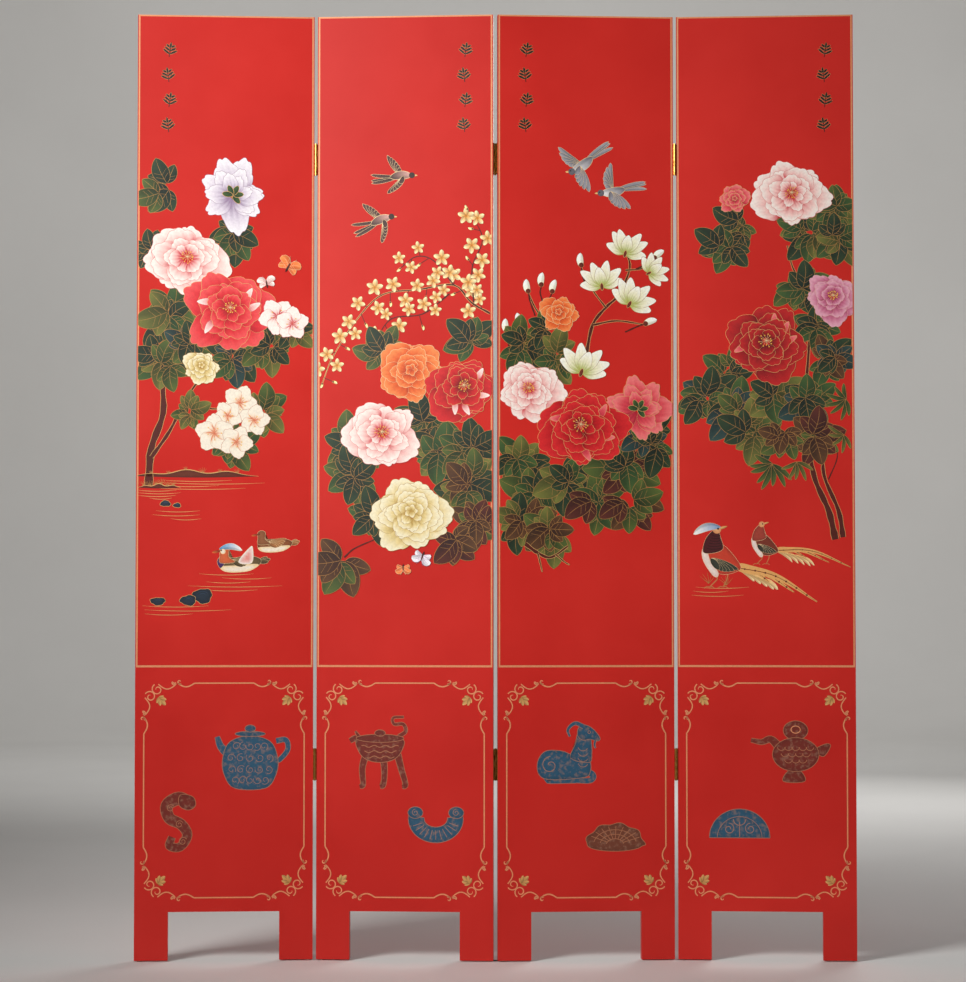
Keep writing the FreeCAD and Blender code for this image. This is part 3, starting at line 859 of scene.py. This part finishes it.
def duck_ewer(panel, u, v):
    ewer = Vessel(panel, u, v, CLAY)
    ewer.limb([(-34, 10), (-52, 26), (-72, 20), (-96, 24)], 18, 8)
    ewer.piece(arc(24, 0, 350, 30) * (1.15, 0.9) + at(4, 46))
    ewer.bare(np.vstack([arc(9, 0, 360, 20), arc(9, 0, 30, 3)]) * (1.15, 0.9) + at(4, 48), 2, FIELD_GOLD)
    ewer.shape((46, 2), (70, 16), (82, 12), (66, -12))
    ewer.shape((-12, -44), (-24, -68), (24, -68), (14, -44))
    ewer.oval(4, -8, 52, 38)
    for row in range(3):
        for column in range(5 - row):
            ewer.mark(arc(9, 190, 350, 9) + at((column - 2 + row / 2) * 16 + 4, 10 - 14 * row))


def half_disc(panel, u, v):
    jade = Vessel(panel, u, v, BLUE)
    for radius in (68, 50):
        jade.piece(arc(radius, 0, 180, 40) * (1, 0.95) + at(0, -30))
    for side in (-1, 1):
        jade.mark(curl(at(side * 24, -10), 13, 90, side * 1.3), 1.8)
    jade.mark([(0, -28), (0, -8), (0, 6)], 2)
    jade.mark(arc(14, 180, 360, 14) + at(0, 12), 2)


def curled_beast(panel, u, v):
    bead = Vessel(panel, u, v, CLAY)
    bead.limb([(26, 50), (2, 62), (-24, 46), (-18, 18), (8, 4), (22, -20), (6, -46), (-18, -44), (-12, -24)],
              30, 15)
    bead.shape((6, 70), (34, 66), (40, 46), (24, 36), (4, 46))
    for centre, radius in (((-16, 40), 9), ((4, 4), 9), ((12, -34), 10)):
        bead.mark(curl(at(*centre), radius, 30, 1.4))


# --- gilt borders and sprigs ------------------------------------------------------------------------------

BORDER_SIDE = 20.0        # the scroll border of the lower field, in from the panel's edges
BORDER_TOP = 622.0
BORDER_FOOT = 142.0
BORDER_LINE = 3.0
CORNER_SPAN = 113.0       # how much of each side a corner scroll takes


def field_frame(panel, width, height):
    """The plain gold line round the upper field."""
    left, right = FIELD_SIDE + FIELD_LINE / 2, width - FIELD_SIDE - FIELD_LINE / 2
    top = height - FIELD_LINE / 2
    relief = panel.layer("gilt_frame")
    for u in (left, right):
        ribbon(relief, straight(at(u, FIELD_FOOT), at(u, top)), FIELD_LINE, FIRST_STROKE, FIELD_GOLD)
    for v, line in ((top, FIELD_LINE), (FIELD_FOOT, FIELD_FOOT_LINE)):
        level = straight(at(left - FIELD_LINE / 2, v), at(right + FIELD_LINE / 2, v))
        ribbon(relief, level, line, FIRST_STROKE + GOLD_RISE, FIELD_GOLD)


def corner_scroll(panel, corner, along, inward):
    """One corner of the scroll border, the same on both sides of its diagonal."""

    def draw(points, wide, start, end):
        for flat in (points, points[:, ::-1]):
            widths = tapered(len(points), wide, start, end)
            panel.line("gilt_border", corner + flat * at(along, inward), widths, FIELD_GOLD)

    wave = np.linspace(0, 1, 14)
    run_in = np.stack([CORNER_SPAN - 38 * wave, 8 * np.sin(math.pi * wave)], -1)
    draw(np.vstack([run_in, curl(at(80, -3), 6, 60, 0.8)]), BORDER_LINE, 1, 0.4)
    swell = np.stack([72 - 40 * wave, 2 + 11 * np.sin(math.pi * wave)], -1)
    draw(np.vstack([curl(at(68, -1), 6, 200, -0.7)[::-1], swell]), BORDER_LINE * 0.9, 0.4, 1)
    draw(curl(at(30, 14), 13, -120, -1.2), BORDER_LINE * 0.9, 1, 0.4)
    root = corner + at(32, 32) * at(along, inward)
    for turn, reach in ((45, 24), (15, 19), (75, 19), (-15, 13), (105, 13)):
        tip = root + polar(reach, turn) * at(along, inward)
        blade(panel, "gilt_border", root, tip, reach * 0.42, (LEAF_GOLD, GOLD))


def scroll_border(panel, width):
    """Four straight gilt lines joined by corner scrolls."""
    left, right = BORDER_SIDE, width - BORDER_SIDE
    relief = panel.layer("gilt_border")
    for v in (BORDER_FOOT, BORDER_TOP):
        line = straight(at(left + CORNER_SPAN, v), at(right - CORNER_SPAN, v))
        ribbon(relief, line, BORDER_LINE, FIRST_STROKE, FIELD_GOLD)
    for u in (left, right):
        line = straight(at(u, BORDER_FOOT + CORNER_SPAN), at(u, BORDER_TOP - CORNER_SPAN))
        ribbon(relief, line, BORDER_LINE, FIRST_STROKE, FIELD_GOLD)
    for u, along in ((left, 1), (right, -1)):
        for v, inward in ((BORDER_FOOT, 1), (BORDER_TOP, -1)):
            corner_scroll(panel, at(u, v), along, inward)


SPRIGS = 4
SPRIG_TOP = 2055.0          # the middle of the highest sprig
SPRIG_PITCH = 57.0
SPRIG_SIZE = 34.0
SPRIG_SPREAD = 58           # between a sprig's stem and its leaves


def sprigs(panel, u):
    """A column of small leaf sprigs in ink and gold."""
    for row in range(SPRIGS):
        foot = at(u, SPRIG_TOP - row * SPRIG_PITCH - SPRIG_SIZE / 2)
        lean = 8 if row % 2 else -8
        for level in range(3):
            node = foot + polar(SPRIG_SIZE * (0.2 + 0.22 * level), 90 + lean)
            for side in (-1, 1):
                tip = node + polar(SPRIG_SIZE * (0.56 - 0.1 * level), 90 + lean + side * SPRIG_SPREAD)
                blade(panel, "sprigs", node, tip, SPRIG_SIZE * 0.15, (INK, INK), line=GOLD, contour=0.35)
        top = foot + polar(SPRIG_SIZE, 90 + lean)
        blade(panel, "sprigs", foot + polar(SPRIG_SIZE * 0.6, 90 + lean), top, SPRIG_SIZE * 0.15, (INK, INK),
              line=GOLD, contour=0.35)
        panel.line("sprigs", straight(foot, top), 1.6, INK)


# --- the four panels --------------------------------------------------------------------------------------


def paint_panel_1(panel):
    """A peony bush over water, with ducks; a teapot and a carved bead below."""
    sprigs(panel, 70)
    panel.on_lacquer()
    branch(panel, [(28, 1062), (34, 1150), (60, 1230), (62, 1320), (110, 1420)], 18, 9)
    branch(panel, [(34, 1130), (75, 1190), (110, 1260), (150, 1320)], 9, 5)
    branch(panel, [(80, 1420), (150, 1560), (190, 1640), (215, 1720)], 7, 5, STEM)
    branch(panel, [(110, 1260), (170, 1240), (240, 1250)], 5, 3)
    for leaves in ((70, 1735, 3, 62, "dark moss", 170, 100), (220, 1640, 5, 58, "dark green", 270, 170),
                   (35, 1600, 3, 46, "dark", 120, 90), (75, 1455, 8, 66, "green moss olive dark"),
                   (55, 1345, 7, 60, "moss dark green olive"), (120, 1390, 6, 60, "dark teal moss"),
                   (215, 1355, 6, 60, "teal dark green"), (300, 1385, 6, 54, "olive dark moss"),
                   (350, 1425, 5, 42, "dark olive"), (285, 1240, 6, 52, "moss olive green"),
                   (215, 1160, 6, 50, "moss green"), (120, 1230, 5, 40, "olive moss")):
        leaf_fan(panel, *leaves)
    side_peony(panel, 215, 1725, 82, "lilac", 60)
    peony(panel, 110, 1575, 98, "pink")
    peony(panel, 205, 1460, 100, "coral", accent="pink")
    open_blossom(panel, 315, 1450, 42, "pink")
    open_blossom(panel, 350, 1435, 38, "pink")
    peony(panel, 145, 1335, 44, "cream", 3, False)
    for u, v, radius in ((232, 1255, 40), (205, 1225, 34), (265, 1215, 36), (175, 1185, 44), (225, 1165, 38)):
        open_blossom(panel, u, v, radius)
    butterfly(panel, 340, 1562, 30, 60, "orange")
    butterfly(panel, 292, 1524, 24, 100, "pink")
    panel.on_lacquer()
    bank(panel, 135, 1088, 140, 15)
    bank(panel, 52, 1062, 48, 9)
    stone(panel, 66, 1026, 24, 14)
    stone(panel, 92, 1022, 18, 11)
    ripples(panel, 90, 1010, 60, 3)
    brown_duck = (srgb(140, 80, 44), srgb(166, 108, 62), PALE_GOLD, srgb(150, 92, 56))
    bright_duck = (srgb(104, 84, 52), srgb(92, 76, 48), PALE_GOLD, srgb(222, 104, 58))
    swimming_bird(panel, 310, 922, 98, -1, brown_duck)
    swimming_bird(panel, 232, 878, 118, -1, bright_duck, True)
    ripples(panel, 225, 868, 110, 5)
    stone(panel, 50, 806, 34, 18)
    stone(panel, 150, 818, 44, 34)
    stone(panel, 118, 808, 36, 24)
    ripples(panel, 115, 796, 100, 3)
    panel.on_lacquer()
    teapot(panel, 258, 458)
    curled_beast(panel, 96, 302)


def paint_panel_2(panel):
    """Yellow-flowered twigs over four peonies, with swallows; a tripod bowl and a jade crescent below."""
    sprigs(panel, 335)
    panel.on_lacquer()
    blossoming_twig(panel, [(392, 1455), (350, 1480), (310, 1520), (230, 1510), (150, 1500), (95, 1450),
                            (36, 1360), (12, 1300)], 5)
    blossoming_twig(panel, [(310, 1520), (265, 1575), (225, 1585), (190, 1560)], 3)
    blossoming_twig(panel, [(355, 1480), (352, 1560), (375, 1625), (342, 1690)], 3)
    blossoming_twig(panel, [(300, 1500), (240, 1455), (170, 1445), (134, 1400)], 3)
    for leaves in ((150, 1370, 3, 52, "moss dark", 130, 100), (350, 1390, 4, 62, "dark green", 110, 130),
                   (75, 1160, 7, 62, "moss dark green"), (85, 1085, 7, 60, "dark moss green"),
                   (240, 1210, 6, 64, "dark green moss"), (280, 1140, 8, 68, "green dark moss olive"),
                   (350, 1150, 7, 66, "dark green moss"), (340, 1065, 8, 68, "moss brown dark olive"),
                   (360, 985, 7, 62, "rust brown moss"), (130, 1000, 5, 56, "dark green", 200, 170),
                   (310, 945, 4, 60, "rust brown", 290, 150)):
        leaf_fan(panel, *leaves)
    branch(panel, [(62, 905), (85, 925), (130, 945)], 3, 2)
    leaf_fan(panel, 66, 895, 3, 76, "brown moss", 235, 120)
    peony(panel, 210, 1320, 82, "orange", 4, False)
    peony(panel, 330, 1285, 86, "red", accent="pink")
    peony(panel, 148, 1180, 90, "pink")
    peony(panel, 216, 1000, 92, "cream", 5, False)
    butterfly(panel, 240, 908, 26, 250, "lilac")
    butterfly(panel, 196, 882, 20, 270, "orange")
    panel.on_lacquer()
    slate = (srgb(62, 40, 34), srgb(214, 164, 152), srgb(78, 50, 42))
    flying_bird(panel, 190, 1768, 96, 5, (118, 222), 8, slate, 4)
    flying_bird(panel, 145, 1668, 96, 20, (118, 246), 12, slate, 4)
    panel.on_lacquer()
    tripod(panel, 150, 468)
    twin_crescent(panel, 270, 298)


BUD_STALK = 16.0            # from a magnolia bud to the fork below it


def paint_panel_3(panel):
    """Magnolias over peonies, with two long-tailed birds; a jade goat and a fan stone below."""
    sprigs(panel, 64)
    panel.on_lacquer()
    branch(panel, [(200, 1360), (215, 1430), (245, 1470), (275, 1500), (300, 1560), (290, 1600)], 8, 4)
    branch(panel, [(215, 1430), (270, 1440), (330, 1432)], 5, 3)
    branch(panel, [(245, 1470), (215, 1510), (190, 1560)], 4, 2)
    branch(panel, [(130, 1420), (90, 1460), (70, 1500)], 5, 3)
    branch(panel, [(290, 1555), (330, 1560), (352, 1580)], 4, 2)
    for u, v, turn in ((70, 1500, 100), (98, 1515, 85), (122, 1500, 75), (190, 1560, 95), (352, 1580, 40),
                       (20, 1410, 95), (330, 1432, 20), (55, 1425, 110)):
        fork = at(u, v) - polar(BUD_STALK, turn)
        branch(panel, [(u, v), fork, fork + at(12, -34) if u < 200 else fork - at(26, 12)], 3, 4)
        bud(panel, u, v, 34, turn)
    magnolia(panel, 290, 1595, 56, 75)
    magnolia(panel, 345, 1550, 46, 30)
    magnolia(panel, 236, 1520, 58, 95)
    magnolia(panel, 300, 1480, 60, 60)
    for leaves in ((60, 1375, 7, 60, "moss dark olive green"), (105, 1425, 4, 48, "moss dark", 150, 160),
                   (130, 1350, 5, 56, "olive green dark"), (45, 1120, 7, 60, "olive green dark"),
                   (90, 1050, 8, 64, "dark moss green olive"), (160, 1075, 8, 64, "green dark olive"),
                   (50, 985, 6, 62, "dark olive brown"), (115, 970, 6, 62, "olive moss brown"),
                   (225, 1030, 7, 60, "moss green rust"), (290, 1110, 8, 66, "green dark moss rust"),
                   (350, 1170, 7, 58, "dark green teal"), (300, 1020, 6, 56, "rust brown moss", 290, 200)):
        leaf_fan(panel, *leaves)
    branch(panel, [(62, 935), (90, 915), (120, 905), (158, 930)], 9, 4)
    branch(panel, [(90, 915), (96, 890), (100, 872)], 4, 2)
    branch(panel, [(130, 912), (150, 895), (162, 888)], 4, 2)
    magnolia(panel, 190, 1325, 66, 70)
    peony(panel, 140, 1455, 46, "orange", 3, False)
    peony(panel, 72, 1280, 78, "pink")
    side_peony(panel, 318, 1240, 78, "rose", 60)
    peony(panel, 192, 1195, 104, "red", 5, accent="rose")
    panel.on_lacquer()
    grey = (srgb(112, 108, 116), srgb(232, 228, 226), srgb(150, 148, 154))
    flying_bird(panel, 192, 1795, 112, 215, (-70, 75), 6, grey)
    flying_bird(panel, 262, 1735, 108, 190, (-95, 130), 6, grey)
    panel.on_lacquer()
    resting_goat(panel, 158, 462)
    fan_stone(panel, 264, 275)


def paint_panel_4(panel):
    """Peonies on an old tree, with two pheasants; a bird-shaped ewer and a half disc below."""
    sprigs(panel, 335)
    panel.on_lacquer()
    branch(panel, [(355, 945), (340, 1010), (310, 1080), (295, 1160), (280, 1250)], 15, 8)
    branch(panel, [(372, 950), (362, 1010), (330, 1090), (330, 1160)], 12, 6)
    branch(panel, [(290, 1280), (300, 1440), (285, 1520), (300, 1600)], 7, 4)
    branch(panel, [(285, 1520), (262, 1560), (250, 1610)], 5, 3)
    branch(panel, [(340, 1080), (360, 1130), (355, 1170)], 3, 2)
    for leaves in ((150, 1655, 4, 54, "dark moss", 200, 140), (115, 1610, 5, 58, "dark green", 210, 170),
                   (300, 1640, 8, 66, "dark green olive"), (360, 1700, 7, 56, "green moss olive"),
                   (365, 1620, 6, 50, "dark olive green"), (285, 1510, 6, 54, "dark green moss"),
                   (310, 1425, 6, 56, "dark green"), (350, 1350, 7, 54, "brown teal dark green"),
                   (110, 1320, 6, 56, "moss green dark"), (65, 1270, 7, 56, "dark teal green"),
                   (130, 1240, 8, 62, "green moss dark teal"), (175, 1190, 7, 58, "olive dark moss"),
                   (215, 1270, 8, 60, "green dark moss olive"), (290, 1255, 7, 56, "green dark teal"),
                   (310, 1170, 7, 54, "rust brown moss"), (245, 1180, 5, 50, "brown moss", 250, 180)):
        leaf_fan(panel, *leaves)
    slim_leaves(panel, 215, 1115, 8, 58, 240, 170)
    slim_leaves(panel, 270, 1120, 5, 44, 270, 120, "olive")
    slim_leaves(panel, 380, 1260, 7, 46, 190, 190)
    slim_leaves(panel, 375, 1180, 5, 40, 220, 150, "olive")
    peony(panel, 352, 1490, 68, "mauve")
    peony(panel, 132, 1715, 36, "rose", 3, False)
    peony(panel, 260, 1722, 88, "pink")
    peony(panel, 200, 1385, 98, "wine", 5, accent="rose")
    panel.on_lacquer()
    belly = srgb(232, 200, 186)
    brown_pheasant = (srgb(122, 48, 30), srgb(46, 44, 34), belly, srgb(164, 62, 46), WHITE)
    crested_pheasant = (srgb(202, 60, 36), srgb(44, 48, 38), belly, srgb(76, 14, 20), srgb(110, 140, 176))
    standing_bird(panel, 192, 890, 96, brown_pheasant, (172, -38), 15)
    standing_bird(panel, 92, 838, 140, crested_pheasant, (185, -78), 24, True)
    grass(panel, 70, 846, 26)
    grass(panel, 110, 842, 22)
    ripples(panel, 95, 838, 70, 3)
    panel.on_lacquer()
    duck_ewer(panel, 260, 470)
    half_disc(panel, 138, 305)


PAINTERS = (paint_panel_1, paint_panel_2, paint_panel_3, paint_panel_4)


# --- placing the paint on the panels ----------------------------------------------------------------------


def panel_face(number):
    """The matrix from a panel's own (u, v, h) to the frame, and the panel's width and height in mm."""
    points = [vertex.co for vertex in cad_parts[f"panel_{number}_front_board"].data.vertices]
    height = max(point.z for point in points)
    top = [point for point in points if point.z > height - 0.1 * MM]
    left_end, right_end = min(point.x for point in top), max(point.x for point in top)
    left = min((point for point in top if point.x < left_end + MM), key=lambda point: point.y)
    right = min((point for point in top if point.x > right_end - MM), key=lambda point: point.y)
    across = (right - left).normalized()
    outward = across.cross(Vector((0, 0, 1)))
    matrix = Matrix((across, (0, 0, 1), outward)).transposed().to_4x4()
    matrix.translation = (left.x, left.y, 0)
    return matrix, (right - left).length / MM, height / MM


UPPER_LAYERS = ("foliage", "foliage_lines", "petals", "petals_lines", "petal_lines", "branches",
                "branches_lines", "birds", "birds_lines", "ground", "ground_lines")
SLIVER_AREA = 1e-12         # faces smaller than this, in square metres, are left out


def place_on_panel(panel, name, relief, matrix, width, material):
    """One layer as a mesh on its panel; those of the upper field are held inside its gold line."""
    points = np.vstack(relief.points)
    if name in UPPER_LAYERS:
        margin = FIELD_SIDE + FIELD_LINE * 0.4
        points[:, 0] = np.clip(points[:, 0], margin, width - margin)
    turned = np.array(matrix.to_3x3()) @ (points.T * MM)
    mesh = bpy.data.meshes.new(f"panel_{panel.number}_{name}")
    mesh.from_pydata((turned.T + np.array(matrix.translation)).tolist(), [], relief.faces)
    colours = np.column_stack([np.vstack(relief.colours), np.ones(len(points))])
    attribute = mesh.attributes.new("paint", "FLOAT_COLOR", "POINT")
    attribute.data.foreach_set("color", np.clip(colours, 0, 1).ravel())
    edit = bmesh.new()
    edit.from_mesh(mesh)
    slivers = [face for face in edit.faces if face.calc_area() < SLIVER_AREA]
    bmesh.ops.delete(edit, geom=slivers, context="FACES_ONLY")
    bmesh.ops.delete(edit, geom=[vertex for vertex in edit.verts if not vertex.link_faces], context="VERTS")
    bmesh.ops.recalc_face_normals(edit, faces=edit.faces)
    edit.to_mesh(mesh)
    edit.free()
    piece = bpy.data.objects.new(mesh.name, mesh)
    bpy.context.scene.collection.objects.link(piece)
    mesh.materials.append(material)
    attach(piece, f"panel_{panel.number}")


# --- materials --------------------------------------------------------------------------------------------


class Nodes:
    """A material's node tree, with short calls for what the finishes share."""

    def __init__(self, name, **shader):
        self.material = bpy.data.materials.new(name)
        self.material.use_nodes = True
        self.tree = self.material.node_tree
        self.shader = self.tree.nodes["Principled BSDF"]
        for socket, value in shader.items():
            self.shader.inputs[socket.replace("_", " ")].default_value = value

    def add(self, kind, **inputs):
        node = self.tree.nodes.new(kind)
        for socket, value in inputs.items():
            node.inputs[socket.replace("_", " ")].default_value = value
        return node

    def link(self, start, end):
        self.tree.links.new(start, end)

    def noise(self, scale, detail=4.0, stretch=(1, 1, 1)):
        place = self.add("ShaderNodeTexCoord")
        mapping = self.add("ShaderNodeMapping")
        mapping.inputs["Scale"].default_value = stretch
        texture = self.add("ShaderNodeTexNoise", Scale=scale, Detail=detail)
        self.link(place.outputs["Object"], mapping.inputs["Vector"])
        self.link(mapping.outputs["Vector"], texture.inputs["Vector"])
        return texture.outputs["Fac"]

    def between(self, value, low, high):
        node = self.add("ShaderNodeMapRange", To_Min=low, To_Max=high)
        self.link(value, node.inputs["Value"])
        return node.outputs["Result"]

    def tones(self, value, dark, pale):
        ramp = self.add("ShaderNodeValToRGB")
        for element, place, colour in zip(ramp.color_ramp.elements, (0.3, 0.7), (dark, pale)):
            element.position = place
            element.color = (*colour, 1)
        self.link(value, ramp.inputs["Fac"])
        return ramp.outputs["Color"]

    def roughness(self, value, low, high):
        self.link(self.between(value, low, high), self.shader.inputs["Roughness"])

    def bump(self, value, strength, depth):
        node = self.add("ShaderNodeBump", Strength=strength, Distance=depth)
        self.link(value, node.inputs["Height"])
        self.link(node.outputs["Normal"], self.shader.inputs["Normal"])


WORN_TAN = srgb(168, 128, 104)


def painted(name, low, high, metallic=0.0, bump=0.25, worn=0.0):
    """Brushed paint or gold: the stroke's own colour, uneven as it dried, and rubbed to tan if worn."""
    nodes = Nodes(name, Metallic=metallic)
    colour = nodes.add("ShaderNodeVertexColor")
    colour.layer_name = "paint"
    uneven = nodes.noise(220.0)
    value = nodes.add("ShaderNodeHueSaturation")
    nodes.link(colour.outputs["Color"], value.inputs["Color"])
    nodes.link(nodes.between(uneven, 0.8, 1.2), value.inputs["Value"])
    finish = value.outputs["Color"]
    if worn:
        rubbed = nodes.add("ShaderNodeMix")
        rubbed.data_type = "RGBA"
        rubbed.inputs["B"].default_value = (*WORN_TAN, 1)
        spots = nodes.add("ShaderNodeMapRange", From_Min=0.5, From_Max=0.66, To_Max=worn)
        nodes.link(nodes.noise(120.0, 8.0), spots.inputs["Value"])
        nodes.link(spots.outputs["Result"], rubbed.inputs["Factor"])
        nodes.link(finish, rubbed.inputs["A"])
        finish = rubbed.outputs["Result"]
    nodes.link(finish, nodes.shader.inputs["Base Color"])
    nodes.roughness(nodes.noise(90.0), low, high)
    nodes.bump(nodes.noise(700.0, 2.0), bump, 0.0002)
    return nodes.material


def plain(name, dark, pale, scale, low, high, stretch=(1, 1, 1), bump=0.15, depth=0.0002, **shader):
    """A finish of two close tones: lacquer, wood, brass or plastic."""
    nodes = Nodes(name, **shader)
    pattern = nodes.noise(scale, 6.0, stretch)
    nodes.link(nodes.tones(pattern, dark, pale), nodes.shader.inputs["Base Color"])
    nodes.roughness(nodes.noise(scale * 4), low, high)
    nodes.bump(nodes.noise(scale * 12, 3.0, stretch), bump, depth)
    return nodes.material


def finish_nodes():
    """A finish for every CAD node, by what it is made of."""
    lacquer = plain("red_lacquer_finish", srgb(198, 36, 29), srgb(212, 44, 36), 3.0, 0.36, 0.46,
                    bump=0.1, Specular_IOR_Level=0.24, Coat_Weight=0.06, Coat_Roughness=0.25)
    edge = plain("lacquered_edge", srgb(184, 30, 26), srgb(208, 48, 38), 14.0, 0.4, 0.52, (1, 1, 0.2),
                 Specular_IOR_Level=0.35, Coat_Weight=0.1, Coat_Roughness=0.3)
    core = plain("blockboard", srgb(150, 112, 70), srgb(198, 160, 110), 30.0, 0.6, 0.8, (1, 1, 0.08), 0.3,
                 0.0006)
    brass = plain("hinge_brass_finish", srgb(168, 122, 52), srgb(222, 178, 96), 120.0, 0.22, 0.4,
                  Metallic=1.0)
    screw = plain("screw_brass_finish", srgb(150, 106, 46), srgb(204, 160, 84), 160.0, 0.28, 0.48,
                  Metallic=1.0)
    glide = plain("glide_plastic_finish", srgb(206, 198, 182), srgb(224, 218, 204), 80.0, 0.4, 0.55)
    by_slot = {"red_lacquer": lacquer, "frame_wood": edge, "core_wood": core, "hinge_brass": brass,
               "screw_brass": screw, "glide_plastic": glide}
    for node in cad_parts.values():
        for slot in node.material_slots:
            slot.material = by_slot[slot.name.split(".")[0]]


# --- the whole screen -------------------------------------------------------------------------------------


def decorate():
    """Paints the four front faces and sets each layer on its panel."""
    paint = painted("brushed_paint", 0.36, 0.52)
    gold = painted("gold_lines", 0.3, 0.46, 0.25)
    worn = painted("worn_pigment", 0.5, 0.65, bump=0.4, worn=0.4)
    for number, painter in enumerate(PAINTERS, 1):
        matrix, width, height = panel_face(number)
        panel = Panel(number)
        field_frame(panel, width, height)
        scroll_border(panel, width)
        painter(panel)
        for name, relief in panel.layers.items():
            gilded = name.endswith("_lines") or name.startswith("gilt")
            material = gold if gilded else worn if name == "antiques" else paint
            place_on_panel(panel, name, relief, matrix, width, material)
        print(f"panel {number}: relief {panel.highest:.3f} mm in {len(panel.layers)} layers")


CAMERA_PLACE = (-0.028, -6.0, 0.837)
CAMERA_PITCH = 2.08         # degrees above level
CAMERA_LENS = 97.4          # mm


def set_camera():
    """The camera of the photograph: square on, a little below the middle, looking slightly up."""
    data = bpy.data.cameras.new("camera")
    data.lens = CAMERA_LENS
    camera = bpy.data.objects.new("camera", data)
    camera.location = CAMERA_PLACE
    camera.rotation_euler = Euler((math.radians(90 + CAMERA_PITCH), 0, 0))
    bpy.context.scene.collection.objects.link(camera)
    bpy.context.scene.camera = camera


def add_light(name, place, target, size, power, spread=180.0):
    """A square area light at a place, aimed at a target and unseen by the camera."""
    data = bpy.data.lights.new(name, "AREA")
    data.size = size
    data.energy = power
    data.spread = math.radians(spread)
    light = bpy.data.objects.new(name, data)
    light.location = place
    light.rotation_euler = (Vector(target) - Vector(place)).to_track_quat("-Z", "Y").to_euler()
    light.visible_camera = False
    bpy.context.scene.collection.objects.link(light)


STUDIO_RADIUS = 9.0         # of the flat floor, in metres
STUDIO_COVE = 2.0           # radius of the curve from the floor to the wall
STUDIO_WALL = 8.0           # height of the wall's top edge
STUDIO_SIDES = 72
DAYLIGHT = (0.9, 0.92, 0.95, 1)
DAYLIGHT_STRENGTH = 0.05


def studio_floor():
    """A pale round floor that curves up into a wall all round, for views from every side."""
    turn = np.radians(np.linspace(0, 90, 10))
    profile = [(0.01, 0), *zip(STUDIO_RADIUS + STUDIO_COVE * np.sin(turn), STUDIO_COVE * (1 - np.cos(turn))),
               (STUDIO_RADIUS + STUDIO_COVE, STUDIO_WALL)]
    around = np.radians(np.arange(STUDIO_SIDES) * 360 / STUDIO_SIDES)
    points = [(radius * math.cos(angle), radius * math.sin(angle), height)
              for radius, height in profile for angle in around]
    rings = np.arange(len(points)).reshape(len(profile), STUDIO_SIDES)
    ahead = np.roll(rings, -1, 1)
    faces = np.stack([rings[:-1], ahead[:-1], ahead[1:], rings[1:]], -1).reshape(-1, 4)
    floor = bpy.data.meshes.new("studio")
    floor.from_pydata(points, [], [*faces.tolist(), rings[0].tolist()])
    floor.polygons.foreach_set("use_smooth", [True] * len(floor.polygons))
    finish = plain("studio_floor", srgb(232, 230, 226), srgb(238, 236, 232), 1.0, 0.75, 0.85, bump=0.02)
    floor.materials.append(finish)
    piece = bpy.data.objects.new("studio", floor)
    bpy.context.scene.collection.objects.link(piece)


def set_studio():
    """A key light from the upper left, a soft fill, a light for the back, and two for the studio's wall."""
    studio_floor()
    add_light("key", (-2.5, -2.9, 2.7), (-0.1, 0, 1.4), 1.5, 31, 68)
    add_light("fill", (3.2, -4.5, 2.6), (0, 0, 1.6), 3.0, 3)
    add_light("back_fill", (2.2, 4.6, 3.0), (0, 0, 1.1), 2.5, 78)
    for side, power in ((1, 135), (-1, 26)):
        add_light(f"wall_{side + 1}", (0, 4.8 * side, 5.2), (0, 10.5 * side, 1.8), 4.5, power, 150)
    world = bpy.data.worlds.new("studio")
    world.use_nodes = True
    sky = world.node_tree.nodes["Background"].inputs
    sky["Color"].default_value = DAYLIGHT
    sky["Strength"].default_value = DAYLIGHT_STRENGTH
    bpy.context.scene.world = world
    bpy.context.scene.view_settings.view_transform = "Standard"


finish_nodes()
decorate()
set_studio()
set_camera()
